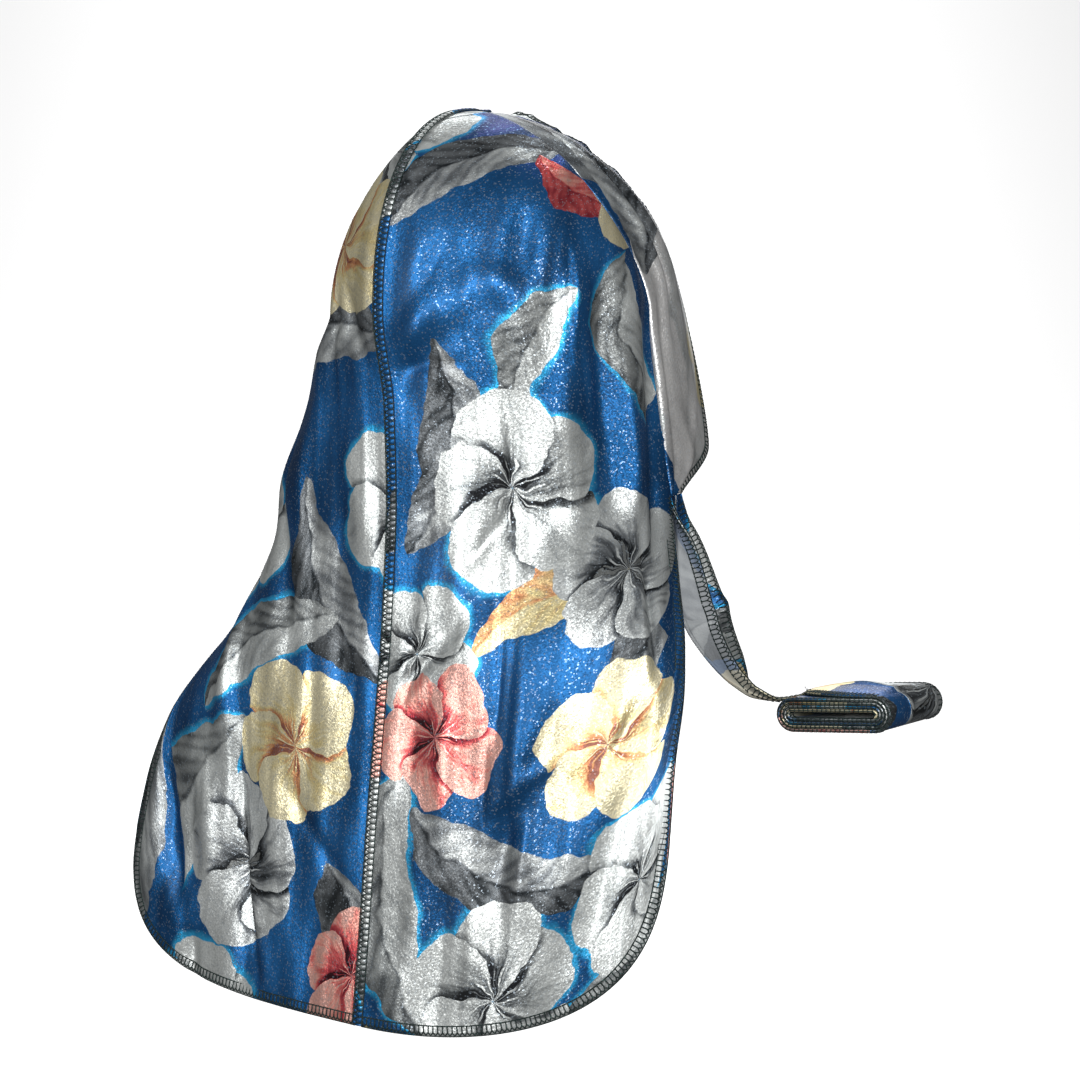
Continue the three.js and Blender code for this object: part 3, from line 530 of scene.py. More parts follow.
veins = add_node(leaf, "MapRange", between, 0.0, 0.4, -0.09, 0.05, **SOFT_STEP)
midrib = add_node(leaf, "MapRange", off_rib, 0.0, 0.03, -0.25, 0.0, **SOFT_STEP)
upper = add_node(leaf, "MapRange", aside, -0.03, 0.03, 0.62, 0.3, **SOFT_STEP)
blotch = add_node(leaf, "TexNoise", named={"Vector": given["Local"], "Scale": 2.4, "Detail": 3.0})
blotched = add_node(leaf, "Math", blotch, 1.3, -0.5, operation="MULTIPLY_ADD")
drawn = add_node(leaf, "Math", veins, midrib, operation="ADD")
lit = add_node(leaf, "Math", upper, blotched, operation="ADD")
tone = add_node(leaf, "Math", drawn, lit, operation="ADD")
deep = add_node(leaf, "Math", inside, traits["X"], operation="MULTIPLY")
leaf.links.new(deep.outputs[0], result["Inside"])
leaf.links.new(tone.outputs[0], result["Tone"])

# The dyes, each from the dark of a petal's root to its lit rim.
DYES = {
    "pearl": ("#15171a", "#55595b", "#a9adac", "#d2d6d4"),
    "ash": ("#0b0d10", "#2b2f32", "#73777a", "#c2c6c5"),
    "cream": ("#8a4a38", "#cf9468", "#d9c892", "#e4dbb8"),
    "coral": ("#2e1218", "#93303b", "#d0605f", "#eeb0a0"),
    "milk": ("#8d8f90", "#b3b5b4", "#cccbca", "#dedddb"),
}
dyes, given, result = new_group("dyes", {"Dye": "Float", "Tone": "Float"}, {"Colour": "Color"})
clipped = add_node(dyes, "Math", given["Tone"], 0.01, operation="MAXIMUM")
held = add_node(dyes, "Math", clipped, 0.99, operation="MINIMUM")
counted = add_node(dyes, "Math", held, given["Dye"], operation="ADD")
ramp = add_node(dyes, "ValToRGB", add_node(dyes, "Math", counted, len(DYES), operation="DIVIDE"))
stops = ramp.color_ramp.elements
SHADE_PLACES = (0.005, 0.3, 0.64, 0.995)
wanted = [((dye + position) / len(DYES), shade)
          for dye, shades in enumerate(DYES.values())
          for position, shade in zip(SHADE_PLACES, shades)]
while len(stops) < len(wanted):
    stops.new(0.5)
for stop, (position, shade) in zip(stops, wanted):
    stop.position = position
    stop.color = linear(shade)
dyes.links.new(ramp.outputs["Color"], result["Colour"])

# Layers of the print, the lowest first. Each motif: across and down in mm, degrees turned, reach in mm,
# bow of a leaf or petals of a blossom, dye.
LAYERS = [
    (leaf, (1, 1.5, 0), [
        (-30, -58, 35, 50, 0.25, "ash"),
        (-142, -138, 100, 52, 0.3, "pearl"),
        (-12, -196, 80, 54, -0.25, "ash"),
        (-150, -300, 60, 56, 0.25, "ash"),
        (-18, -420, 100, 64, 0.3, "pearl"),
        (-140, -500, 20, 60, 0.25, "pearl"),
        (70, -60, 120, 62, 0.3, "ash"),
        (165, -200, 60, 70, 0.25, "pearl"),
        (60, -270, 100, 66, -0.3, "ash"),
        (190, -350, 80, 60, 0.3, "cream"),
        (90, -500, 10, 66, 0.25, "ash"),
        (232, -66, 92, 96, 0.1, "milk"),
        (236, -235, 88, 84, -0.1, "ash"),
    ]),
    (leaf, (1, 1.5, 0), [
        (-92, -52, 160, 40, 0.3, "coral"),
        (-74, -150, 60, 42, 0.25, "pearl"),
        (-100, -278, 20, 60, 0.3, "cream"),
        (-70, -395, 160, 60, 0.25, "ash"),
        (-30, -510, 140, 46, 0.3, "cream"),
        (120, -110, 30, 56, 0.3, "pearl"),
        (40, -350, 70, 60, 0.25, "pearl"),
        (150, -420, 120, 56, -0.3, "ash"),
        (226, -160, 80, 50, 0.2, "ash"),
    ]),
    (blossom, (1, 1, 0), [
        (-118, -262, 10, 48, 5, "ash"),
        (-10, -300, 40, 40, 5, "pearl"),
        (-146, -436, 25, 46, 5, "pearl"),
        (130, -216, 15, 50, 5, "ash"),
        (60, -388, 50, 58, 5, "pearl"),
        (30, -20, 50, 50, 5, "pearl"),
    ]),
    (blossom, (1, 1, 0), [
        (-58, -216, 20, 56, 5, "pearl"),
        (-122, -352, 70, 46, 5, "cream"),
        (-26, -340, 40, 40, 5, "coral"),
        (-66, -464, 5, 54, 5, "pearl"),
        (-130, -50, 30, 42, 5, "cream"),
        (96, -150, 33, 48, 5, "cream"),
        (45, -262, 10, 42, 5, "coral"),
        (150, -306, 15, 50, 5, "pearl"),
        (75, -440, 80, 48, 5, "cream"),
        (186, -460, 60, 50, 5, "coral"),
        (170, -40, 45, 52, 5, "pearl"),
    ]),
]
GROUND_BLUE, DEEP_BLUE, CYAN = "#225f97", "#11406a", "#35a5d6"

flowers, given, result = new_group("flower_print", {"Place": "Vector"}, {"Colour": "Color"})
wander = add_node(flowers, "TexNoise", named={"Vector": given["Place"], "Scale": 38.0, "Detail": 3.0})
wavy = add_node(flowers, "VectorMath", wander.outputs["Color"], (0.018, 0.018, 0), given["Place"],
                operation="MULTIPLY_ADD")
mottle = add_node(flowers, "TexNoise", named={"Vector": given["Place"], "Scale": 14.0, "Detail": 3.0})
mottled = add_node(flowers, "MapRange", mottle, 0.35, 0.7, **SOFT_STEP)
colour = add_node(flowers, "Mix", mottled, named={6: linear(GROUND_BLUE), 7: linear(DEEP_BLUE)},
                  data_type="RGBA").outputs[2]
covered = 0.0
for kind, slim, motifs in LAYERS:
    found = {"Local": (9, 9, 0), "Traits": (0.05, 0, 5)}
    for across_mm, down_mm, degrees, reach, third, dye in motifs:
        found = add_node(flowers, "Group", node_tree=motif, named={
            "Place": wavy, "Centre": (across_mm / 1000, down_mm / 1000, 0), "Turn": math.radians(degrees),
            "Reach": reach / 1000, "Slim": slim, "Traits": (reach / 1000, list(DYES).index(dye), third),
            "Other Local": found["Local"], "Other Traits": found["Traits"]}).outputs
    shape = add_node(flowers, "Group", node_tree=kind,
                     named={"Local": found["Local"], "Traits": found["Traits"]}).outputs
    traits = add_node(flowers, "SeparateXYZ", found["Traits"]).outputs
    dyed = add_node(flowers, "Group", node_tree=dyes, named={"Dye": traits["Y"], "Tone": shape["Tone"]})
    near = add_node(flowers, "MapRange", shape["Inside"], -0.0045, 0.0, 0.0, 0.85,
                    **SOFT_STEP)
    pearl = add_node(flowers, "Math", traits["Y"], 0.5, operation="LESS_THAN")
    bare = add_node(flowers, "Math", 1.0, covered, operation="SUBTRACT")
    bare_pearl = add_node(flowers, "Math", pearl, bare, operation="MULTIPLY")
    halo = add_node(flowers, "Math", near, bare_pearl, operation="MULTIPLY")
    fringed = add_node(flowers, "Mix", halo, named={6: colour, 7: linear(CYAN)}, data_type="RGBA")
    mask = add_node(flowers, "MapRange", shape["Inside"], -0.0003, 0.0003, **SOFT_STEP)
    printed = add_node(flowers, "Mix", mask, named={6: fringed.outputs[2], 7: dyed}, data_type="RGBA")
    colour = printed.outputs[2]
    covered = add_node(flowers, "Math", mask, covered, operation="MAXIMUM")
flowers.links.new(colour, result["Colour"])


def velvet_material(name, fading, wrong_side):
    """The printed cloth, seen from its pile or from its knitted wrong side, which takes the dye palely."""
    material = bpy.data.materials.new(name)
    material.use_nodes = True
    tree = material.node_tree
    shader = tree.nodes["Principled BSDF"]
    cloth = add_node(tree, "UVMap", uv_map="UVMap")
    dyed = add_node(tree, "Group", node_tree=flowers, named={"Place": cloth}).outputs[0]
    # The tufts are about 0.4 mm across in the cloth and drawn at 0.65 mm, so that they show as separate
    # glints: each leans its own way, and a few are smooth enough to flash white in the light.
    # Those few also carry a painted glint: their base colour is mixed towards a pale blue-white highlight,
    # faintly on the wrong side.
    tufts = add_node(tree, "TexVoronoi", named={"Vector": cloth, "Scale": 1000 / 0.65},
                     voronoi_dimensions="2D").outputs["Color"]
    lucky = add_node(tree, "SeparateColor", tufts).outputs[0]
    faded = add_node(tree, "Mix", fading, named={6: dyed, 7: linear("#b9bdc1")}, data_type="RGBA")
    # Painted glint: how far the luckiest tufts' base colour is mixed towards a pale highlight colour.
    painted_glint_strength = 0.05 if wrong_side else 0.24
    painted_glints = add_node(tree, "MapRange", lucky, 0.88, 0.96, 0.0, painted_glint_strength, **SOFT_STEP)
    glint_painted_colour = add_node(tree, "Mix", painted_glints, named={6: faded.outputs[2], 7: linear("#dcecfa")},
                       data_type="RGBA")
    tree.links.new(glint_painted_colour.outputs[2], shader.inputs["Base Color"])
    rough, smooth = (0.85, 0.7) if wrong_side else (0.43, 0.3)
    gloss = add_node(tree, "MapRange", lucky, 0.88, 0.96, rough, smooth, **SOFT_STEP)
    tree.links.new(gloss.outputs[0], shader.inputs["Roughness"])
    # Broad soft swells about 35 mm wide, drawn out lengthwise where the cloth is pulled, finer streaks about
    # 10 mm apart, and the grain of the pile.
    stretched = add_node(tree, "VectorMath", cloth, (28, 9, 1), operation="MULTIPLY")
    swells = add_node(tree, "TexNoise", named={"Vector": stretched, "Scale": 1.0, "Detail": 1.0})
    swollen = add_node(tree, "Bump", named={"Height": swells, "Strength": 1.0, "Distance": 0.016})
    drawn_out = add_node(tree, "VectorMath", cloth, (100, 7, 1), operation="MULTIPLY")
    streaks = add_node(tree, "TexNoise", named={"Vector": drawn_out, "Scale": 1.0, "Detail": 1.0})
    pulled = add_node(tree, "Bump",
                      named={"Height": streaks, "Strength": 1.0, "Distance": 0.0011, "Normal": swollen})
    grain = add_node(tree, "TexNoise", named={"Vector": cloth, "Scale": 1000 / 1.4, "Detail": 2.0})
    pile = add_node(tree, "Bump",
                    named={"Height": grain, "Strength": 0.6, "Distance": 0.0003, "Normal": pulled})
    leaning = add_node(tree, "VectorMath", tufts, (0.5, 0.5, 0.5), operation="SUBTRACT")
    lean = 0.1 if wrong_side else 0.22
    normal = add_node(tree, "VectorMath", leaning, (lean, lean, lean), pile, operation="MULTIPLY_ADD")
    upright = add_node(tree, "VectorMath", normal, operation="NORMALIZE")
    tree.links.new(upright.outputs[0], shader.inputs["Normal"])
    shader.inputs["Metallic"].default_value = 0.0 if wrong_side else 0.75
    shader.inputs["Specular Tint"].default_value = linear("#30363c")
    if not wrong_side:
        shader.inputs["Coat Weight"].default_value = 0.18
        shader.inputs["Coat Roughness"].default_value = 0.42
    return material


velvet = velvet_material("printed_stretch_velvet", 0.0, False)
knit_back = velvet_material("velvet_knitted_wrong_side", 0.5, True)

for side, name in ((RIGHT, "velvet_panel_right"), (LEFT, "velvet_panel_left")):
    points, normals = GRIDS[side]
    across, down = cloth_lengths(points)
    shift = (0.0, 0.0) if side == RIGHT else (0.03, 0.21)
    piece = cut_cloth(name, points, normals, np.stack([side * across + shift[0], shift[1] - down], -1))
    finish_cloth(piece, velvet, knit_back)
    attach(piece, "root")
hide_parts("panel_right")
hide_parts("panel_left")

# Front band
# A strip of the same velvet, sewn to the front of both panels over the top of the head. Its front edge is
# serged and stands up loosely, and its ends run down to the ties.
BAND_PUFF, BAND_CENTRE, BAND_RISE = 0.008, 1.4, 0.4
BAND_COLUMNS = 28
# The band's front edge, from the top of the crown to the tie: down, sideways, back, depth, puff.
BANDS = {
    RIGHT: [
        (0.0, 0.0, -0.28, 0.05, 0.4),
        (0.2, 0.19, -0.29, 0.12, 0.5),
        (0.4, 0.38, -0.33, 0.23, 0.7),
        (0.6, 0.55, -0.42, 0.38, 0.9),
        (0.8, 0.67, -0.52, 0.58, 0.95),
        (1.0, 0.73, -0.59, 0.78, 0.9),
        (1.3, 0.78, -0.64, 1.0, 0.9),
        (1.6, 0.86, -0.66, 1.28, 0.7),
        (1.85, 0.99, -0.62, 1.66, 0.3),
        (2.0, 1.04, -0.33, 1.89, 0.0),
    ],
    LEFT: [
        (0.0, 0.0, -0.28, 0.05, 0.4),
        (0.2, 0.19, -0.28, -0.03, 0.3),
        (0.4, 0.38, -0.3, 0.07, 0.4),
        (0.6, 0.54, -0.4, 0.28, 0.7),
        (0.8, 0.68, -0.52, 0.53, 0.9),
        (1.0, 0.76, -0.6, 0.76, 1.0),
        (1.3, 0.82, -0.66, 0.98, 1.0),
        (1.6, 0.89, -0.66, 1.28, 0.75),
        (1.85, 1.02, -0.62, 1.66, 0.3),
        (2.0, 1.11, -0.33, 1.89, 0.0),
    ],
}


def band_rows(side):
    """Half of the band, row by row from the panel's edge to its own front edge."""
    points, normals = GRIDS[side]
    rows = np.arange(ROOT_ROW + 1)
    table = np.array(BANDS[side])
    sideways, back, depth, puff = (smooth_curve(table[:, 0], table[:, at], DOWN[rows]) for at in range(1, 5))
    seam, normal = points[rows, -1], normals[rows, -1]
    along = points[rows + 1, -1] - points[np.maximum(rows - 1, 0), -1]
    start = seam + unit(side * np.cross(along, normal)) * GAP
    sideways = side * sideways * CROWN_HALF_BREADTH
    edge = np.stack([sideways, back * CROWN_HALF_LENGTH, -depth * CROWN_HEIGHT], -1)
    outward = (start + edge) / 2 - np.array([0, 0, -BAND_CENTRE * CROWN_HEIGHT])
    outward[:, 2] *= BAND_RISE
    outward = unit(outward)
    share = np.linspace(0, 1, BAND_COLUMNS + 1)[None, :, None]
    lift = np.sin(math.pi * share) * puff[:, None, None] * BAND_PUFF
    lift = lift + band_relief(DOWN[rows][:, None, None], share)
    return start[:, None] * (1 - share) + edge[:, None] * share + outward[:, None] * lift


# Folds along the band: down and across where each starts, down and across where it ends, width, height in mm.
BAND_FOLDS = [
    (1.0, 0.07, 2.0, 0.07, 0.05, 1.8),
    (0.9, 0.16, 2.0, 0.15, 0.05, -1.6),
    (0.3, 0.3, 1.2, 0.24, 0.06, 1.6),
    (0.25, 0.42, 1.35, 0.33, 0.06, -1.8),
    (0.3, 0.55, 1.5, 0.44, 0.08, 1.6),
    (0.35, 0.68, 1.3, 0.56, 0.06, -1.4),
    (1.45, 0.3, 1.95, 0.62, 0.1, -1.2),
    (1.6, 0.62, 1.98, 0.4, 0.08, 1.2),
    (0.05, 0.5, 0.4, 0.6, 0.12, -2.4),
]
BAND_FLARE, BAND_RUFFLE, BAND_RUFFLE_PITCH = 0.003, 0.0009, 0.22


def band_relief(down, share):
    """How far the band stands off its plain form: its folds, and the ruffled front edge over the crown."""
    height = np.zeros(np.broadcast_shapes(down.shape, share.shape))
    for start_down, start_share, end_down, end_share, width, rise in BAND_FOLDS:
        along = np.clip((down - start_down) / (end_down - start_down), 0, 1)
        beyond = np.abs(down - np.clip(down, start_down, end_down)) / 0.12
        middle = start_share + (end_share - start_share) * along
        taper = 0.4 + 0.6 * np.sin(math.pi * along)
        height = height + 0.001 * rise * taper * np.exp(-((share - middle) / width) ** 2 - beyond**2)
    waves = 2 * math.pi * down / BAND_RUFFLE_PITCH
    ruffle = np.sin(waves) + 0.5 * np.sin(2.3 * waves + 1)
    over_crown = ease(1.15 - down)
    front = np.clip((share - 0.6) / 0.4, 0, 1) ** 2
    height = height + over_crown * front * (BAND_FLARE + BAND_RUFFLE * ruffle)
    return height * ease(share / 0.04)


band_points = np.concatenate([band_rows(RIGHT)[::-1], band_rows(LEFT)])
band_normals = grid_normals(band_points, 1)
band_normals[: ROOT_ROW + 1, 0] = GRIDS[RIGHT][1][ROOT_ROW::-1, -1]
band_normals[ROOT_ROW + 1:, 0] = GRIDS[LEFT][1][: ROOT_ROW + 1, -1]
across, down = cloth_lengths(band_points)
band = cut_cloth("velvet_band", band_points, band_normals, np.stack([across + 0.205, -down], -1))
finish_cloth(band, velvet, knit_back)
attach(band, "root")
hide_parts("front_band")

# Centre seam
# The raw edges of the two panels, overlocked together on the outside and laid flat to one side. The cloth
# swells between the loops of dark thread, in a row of beads by the needle line and of dots by the chain.
STITCH_PITCH, THREAD = 0.0029, 0.0006
SEAM_CLOTH = 0.0005
SEAM_LIFT, BEAD_RISE = 0.0009, 0.0009
SEAM_COLUMNS, ROWS_PER_STITCH = 14, 8


def evenly(spacing, path, *others):
    """Places at even spacing along a path, and whatever else is known along it."""
    length = np.concatenate([[0], np.cumsum(np.linalg.norm(np.diff(path, axis=0), axis=-1))])
    places = np.linspace(0, length[-1], round(length[-1] / spacing) + 1)
    return [
        np.stack([np.interp(places, length, values[:, at]) for at in range(values.shape[1])], -1)
        for values in (path, *others)
    ]


def twist_thread(name, strands, thickness):
    """One stitch of thread, lying in its own small frame: x inwards from the edge, y along it, z up."""
    bpy.ops.curve.primitive_bezier_curve_add()
    stitch = bpy.context.object
    stitch.name = name
    stitch.data.splines.clear()
    for strand in strands:
        spline = stitch.data.splines.new("POLY")
        spline.points.add(len(strand) - 1)
        for point, place in zip(spline.points, strand):
            point.co = (*place, 1)
    stitch.data.bevel_depth = thickness / 2
    stitch.data.bevel_resolution = 1
    stitch.data.use_fill_caps = True
    bpy.ops.object.convert(target="MESH")
    return bpy.context.object


def sew(name, stitch, pitch, edge, inwards, ups):
    """Lays copies of one stitch along an edge, one between each two places, and joins them in one mesh."""
    along = np.diff(edge, axis=0)
    stretch = np.linalg.norm(along, axis=-1, keepdims=True) / pitch
    along = unit(along)
    middle = (edge[1:] + edge[:-1]) / 2
    up = ups[1:] + ups[:-1]
    up = unit(up - along * np.sum(up * along, axis=-1, keepdims=True))
    inward = np.cross(along, up)
    inward *= np.sign(np.sum(inward * (inwards[1:] + inwards[:-1]), axis=-1, keepdims=True))
    flat = np.empty(len(stitch.data.vertices) * 3)
    stitch.data.vertices.foreach_get("co", flat)
    flat = flat.reshape(1, -1, 3)
    laid = (
        middle[:, None]
        + flat[..., :1] * inward[:, None]
        + flat[..., 1:2] * (along * stretch)[:, None]
        + flat[..., 2:] * up[:, None]
    ).reshape(-1, 3)
    faces = [list(face.vertices) for face in stitch.data.polygons]
    count = flat.shape[1]
    mesh = bpy.data.meshes.new(name)
    copies = [[corner + at * count for corner in face] for at in range(len(middle)) for face in faces]
    mesh.from_pydata(laid, [], copies)
    mesh.materials.append(overlock_thread)
    sewn = bpy.data.objects.new(name, mesh)
    bpy.context.scene.collection.objects.link(sewn)
    bpy.context.view_layer.objects.active = sewn
    bpy.ops.object.select_all(action="DESELECT")
    sewn.select_set(True)
    bpy.ops.object.mode_set(mode="EDIT")
    bpy.ops.mesh.select_all(action="SELECT")
    bpy.ops.mesh.normals_make_consistent(inside=False)
    bpy.ops.object.mode_set(mode="OBJECT")
    bpy.ops.object.shade_smooth()
    sewn.select_set(False)
    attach(sewn, "root")


# Textured polyester thread, dyed a green that is almost black: soft and matt, with a few pale stray fibres.
# Its twist is about 0.4 mm and drawn at 0.8 mm, so that it shows.
overlock_thread = bpy.data.materials.new("textured_polyester_thread")
overlock_thread.use_nodes = True
tree = overlock_thread.node_tree
shader = tree.nodes["Principled BSDF"]
place = add_node(tree, "TexCoord").outputs["Object"]
fibres = add_node(tree, "TexNoise", named={"Vector": place, "Scale": 1000 / 0.8, "Detail": 2.0})
pale = add_node(tree, "MapRange", fibres, 0.56, 0.74, **SOFT_STEP)
thread_colour = add_node(tree, "Mix", pale, named={6: linear("#0c1f1d"), 7: linear("#54706c")},
                         data_type="RGBA")
tree.links.new(thread_colour.outputs[2], shader.inputs["Base Color"])
twist = add_node(tree, "TexWave", named={"Vector": place, "Scale": 1000 / 0.8, "Distortion": 2.0},
                 bands_direction="DIAGONAL")
twisted = add_node(tree, "Bump", named={"Height": twist, "Strength": 0.7, "Distance": 0.0002})
tree.links.new(twisted.outputs[0], shader.inputs["Normal"])
shader.inputs["Roughness"].default_value = 0.65

half_pitch, half_width = STITCH_PITCH / 2, SEAM_WIDTH / 2
over = SEAM_LIFT + 0.75 * BEAD_RISE
fork = (0.2 * half_width, 0, over)
# The thread lies square across the beads, forks over the dots, and is chained along both sides.
seam_stitch = twist_thread("seam_stitch", [
    [(half_width, 0, SEAM_LIFT), (0.8 * half_width, 0, over), fork],
    [fork, (-0.4 * half_width, 0.55 * half_pitch, over), (-0.95 * half_width, half_pitch, over)],
    [fork, (-0.4 * half_width, -0.55 * half_pitch, over), (-0.95 * half_width, -half_pitch, over)],
    [(-0.95 * half_width, -half_pitch, over), (-0.98 * half_width, 0, over),
     (-0.95 * half_width, half_pitch, over)],
    [(0.98 * half_width, -half_pitch, SEAM_LIFT), (half_width, 0, SEAM_LIFT + 0.0002),
     (0.98 * half_width, half_pitch, SEAM_LIFT)],
], THREAD)

seam_line, seam_normals = GRIDS[RIGHT][0][::-1, 0].copy(), GRIDS[RIGHT][1][::-1, 0]
seam_line[:, 0] = 0
seam_print = cloth_lengths(GRIDS[RIGHT][0])[1][::-1, :1]
# The seam ends a seventh of the way over the band, between the band's two middle rows.
over_band = band_points[ROOT_ROW : ROOT_ROW + 2, : BAND_COLUMNS // 7 + 1].sum(axis=0) / 2
seam_line = np.concatenate([seam_line, over_band])
seam_normals = np.concatenate([seam_normals, np.tile([0, 0, 1.0], (len(over_band), 1))])
seam_print = np.concatenate([seam_print, np.linspace(0, -0.005, len(over_band))[:, None]])
stitch_line, stitch_normals = evenly(STITCH_PITCH, seam_line, seam_normals)
toward_needle = np.tile([-1.0, 0, 0], (len(stitch_line), 1))
sew("seam_threads", seam_stitch, STITCH_PITCH, stitch_line, toward_needle, stitch_normals)

row_pitch = STITCH_PITCH / ROWS_PER_STITCH
bead_line, bead_normals, bead_print = evenly(row_pitch, seam_line, seam_normals, seam_print)
phase = np.arange(len(bead_line))[:, None] * (len(stitch_line) - 1) / (len(bead_line) - 1) + 0.5
aside = np.linspace(-1, 1, SEAM_COLUMNS + 1)[None]
bead = np.abs(np.sin(math.pi * phase)) ** 0.6 * np.sqrt(np.clip(1 - ((aside - 0.36) / 0.62) ** 2, 0, 1))
dot = np.abs(np.cos(math.pi * phase)) * np.sqrt(np.clip(1 - ((aside + 0.63) / 0.3) ** 2, 0, 1))
lift = SEAM_LIFT + BEAD_RISE * np.maximum(bead, 0.7 * dot) - 0.0004 * aside**6
seam_points = bead_line[:, None] + lift[..., None] * bead_normals[:, None]
seam_points[..., 0] -= aside * half_width
seam_place = np.stack([-0.012 - aside * half_width + 0 * bead_print, -bead_print + 0 * aside], -1)
seam_faces = np.broadcast_to(bead_normals[:, None], seam_points.shape)
seam = cut_cloth("seam_allowance", seam_points, seam_faces, seam_place)
finish_cloth(seam, velvet, knit_back, SEAM_CLOTH)
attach(seam, "root")
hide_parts("center_seam")
bpy.data.objects.remove(seam_stitch)

# Ties
# One wide strap to each side, serged along both edges and joined to the end of the band. It is gathered at
# its root, hangs folded lengthwise, and is wound up into a flat roll.
TIE_WIDTH, TIE_FOLD_SHARE, TIE_FOLD_ROUND = 0.062, 0.42, 0.007
ROLL_SIDEWAYS, ROLL_FORWARD, ROLL_DROP = 0.076, 0.031, 0.110
ROLL_LENGTH, ROLL_HEIGHT, ROLL_HALF_TURNS, ROLL_PITCH = 0.066, 0.0195, 9, 0.0018
ROLL_YAW, ROLL_TILT, ROLL_PUFF = 5, 4, 0.005
# The tie's way from its root to the roll: out, forward and down as shares of it, then its turn and how far
# the fold opens, in degrees, and its gather, a share of the full width.
TIE_ROUTE = np.array([
    (0.0, 0.0, 0.0, 0, 180, 0.15),
    (-0.01, 0.0, 0.12, 14, 100, 0.3),
    (-0.01, 0.01, 0.25, 26, 50, 0.48),
    (0.0, 0.06, 0.53, 40, 18, 0.68),
    (0.03, 0.12, 0.65, 46, 14, 0.72),
    (0.15, 0.28, 0.81, 48, 14, 0.58),
    (0.35, 0.49, 0.965, 36, 40, 0.4),
    (0.52, 0.63, 1.03, 0, 110, 0.28),
    (0.7, 0.8, 1.05, -20, 165, 0.26),
    (0.88, 0.93, 1.03, -14, 178, 0.32),
    (1.0, 1.0, 1.0, -5, 180, 0.45),
])
# Along the top of the roll: share of the way, gather, puff.
ROLL_OPENING = np.array([(0, 0.42, 0.2), (0.3, 0.7, 0.7), (0.65, 0.92, 1), (1, 1, 0.5)])
TIE_FACETS, TIE_ROWS, OPENING_ROWS, STRAIGHT_ROWS, ARC_ROWS = 8, 90, 22, 18, 14
TIE_COLUMNS = 32


def tie_section(opening, width):
    """Points across a tie, along its width and along its normal, from the middle of the lengthwise fold."""
    near = TIE_FOLD_SHARE * width
    far = width - near
    curl = min(TIE_FOLD_ROUND, near) / 2
    facets = [-near, -(near + curl) / 2, -curl, -curl / 2, 0, curl / 2, curl, (curl + far) / 2, far]
    place = np.interp(np.linspace(0, TIE_FACETS, TIE_COLUMNS + 1), np.arange(TIE_FACETS + 1), facets)
    bend = max(math.radians(180 - opening), 0.001)
    radius = 2 * curl / bend

    def on_section(place):
        in_fold = np.maximum(place, -curl)
        turned = bend * (curl - in_fold) / (2 * curl)
        beyond = in_fold - place
        along = -radius * np.sin(turned) - beyond * math.cos(bend)
        off = radius * (1 - np.cos(turned)) + beyond * math.sin(bend)
        flat = place >= curl
        return np.stack([np.where(flat, place - curl, along), np.where(flat, 0, off)], -1)

    return on_section(place) - on_section(np.zeros(1))


def ahead(side, degrees):
    """The level direction that is turned outwards by so many degrees from straight ahead."""
    return np.array([side * math.sin(math.radians(degrees)), -math.cos(math.radians(degrees)), 0])


def tie_grid(side):
    """The tie's points and normals, row by row: its root, its hanging stretch, and the turns of its roll."""
    end = 0 if side == RIGHT else len(band_points) - 1
    start, finish, normal = band_points[end, 0], band_points[end, -1], band_normals[end, 0]
    width = np.linalg.norm(finish - start)
    across = (finish - start) / width
    below = unit(side * np.cross(normal, across))
    root = start + across * TIE_FOLD_SHARE * width + below * GAP
    roll_across, level, rise = ahead(side, -ROLL_YAW), ahead(side, 90 - ROLL_YAW), np.array([0, 0, 1.0])
    tilt = math.radians(ROLL_TILT)
    outward = level * math.cos(tilt) + rise * math.sin(tilt)
    up = rise * math.cos(tilt) - level * math.sin(tilt)
    half = (ROLL_LENGTH - ROLL_HEIGHT) / 2
    near_face = root + np.array([side * ROLL_SIDEWAYS, -ROLL_FORWARD, -ROLL_DROP])
    roll_fold = near_face + roll_across * TIE_FOLD_SHARE * TIE_WIDTH
    radius = (ROLL_HEIGHT - CLOTH) / 2
    entry = roll_fold - outward * half + up * radius
    rows = [(root, across, 180, width / TIE_WIDTH, 0)]
    keys = np.arange(len(TIE_ROUTE))
    for key in np.linspace(0, keys[-1], TIE_ROWS, endpoint=False)[1:]:
        out, forward, down, turn, opening, gather = (
            float(smooth_curve(keys, TIE_ROUTE[:, at], key)) for at in range(6)
        )
        place = root + (entry - root) * np.array([out, forward, down])
        rows.append((place, ahead(side, turn), opening, gather, 0))
    for share in np.linspace(0, 1, OPENING_ROWS):
        gather, puff = (float(smooth_curve(ROLL_OPENING[:, 0], ROLL_OPENING[:, at], share)) for at in (1, 2))
        place = roll_fold + outward * half * (2 * share - 1) + up * radius
        rows.append((place, roll_across, 180, gather, puff * ROLL_PUFF))
    for half_turn in range(ROLL_HALF_TURNS):
        way = 1 if half_turn % 2 == 0 else -1
        for step in np.linspace(0, 1, ARC_ROWS + 1)[1:]:
            here = radius - ROLL_PITCH / 2 * step
            length, height = half + here * math.sin(math.pi * step), here * math.cos(math.pi * step)
            rows.append((roll_fold + way * (outward * length + up * height), roll_across, 180, 1, 0))
        radius -= ROLL_PITCH / 2
        if half_turn < ROLL_HALF_TURNS - 1:
            for step in np.linspace(0, 1, STRAIGHT_ROWS + 1)[1:]:
                place = roll_fold + way * (outward * half * (1 - 2 * step) - up * radius)
                rows.append((place, roll_across, 180, 1, 0))
    folds = np.array([row[0] for row in rows])
    tangents = unit(np.gradient(folds, axis=0))
    tangents[0] = below
    points = []
    for (fold, across, opening, gather, puff), tangent in zip(rows, tangents):
        squared = unit(across - tangent * (tangent @ across))
        normal = -side * np.cross(tangent, squared)
        section = tie_section(opening, gather * TIE_WIDTH)
        rise = section[:, 1] + puff * np.sin(np.linspace(0, math.pi, TIE_COLUMNS + 1))
        points.append(fold + section[:, :1] * squared + rise[:, None] * normal)
    points = np.array(points)
    return points, grid_normals(points, -side)


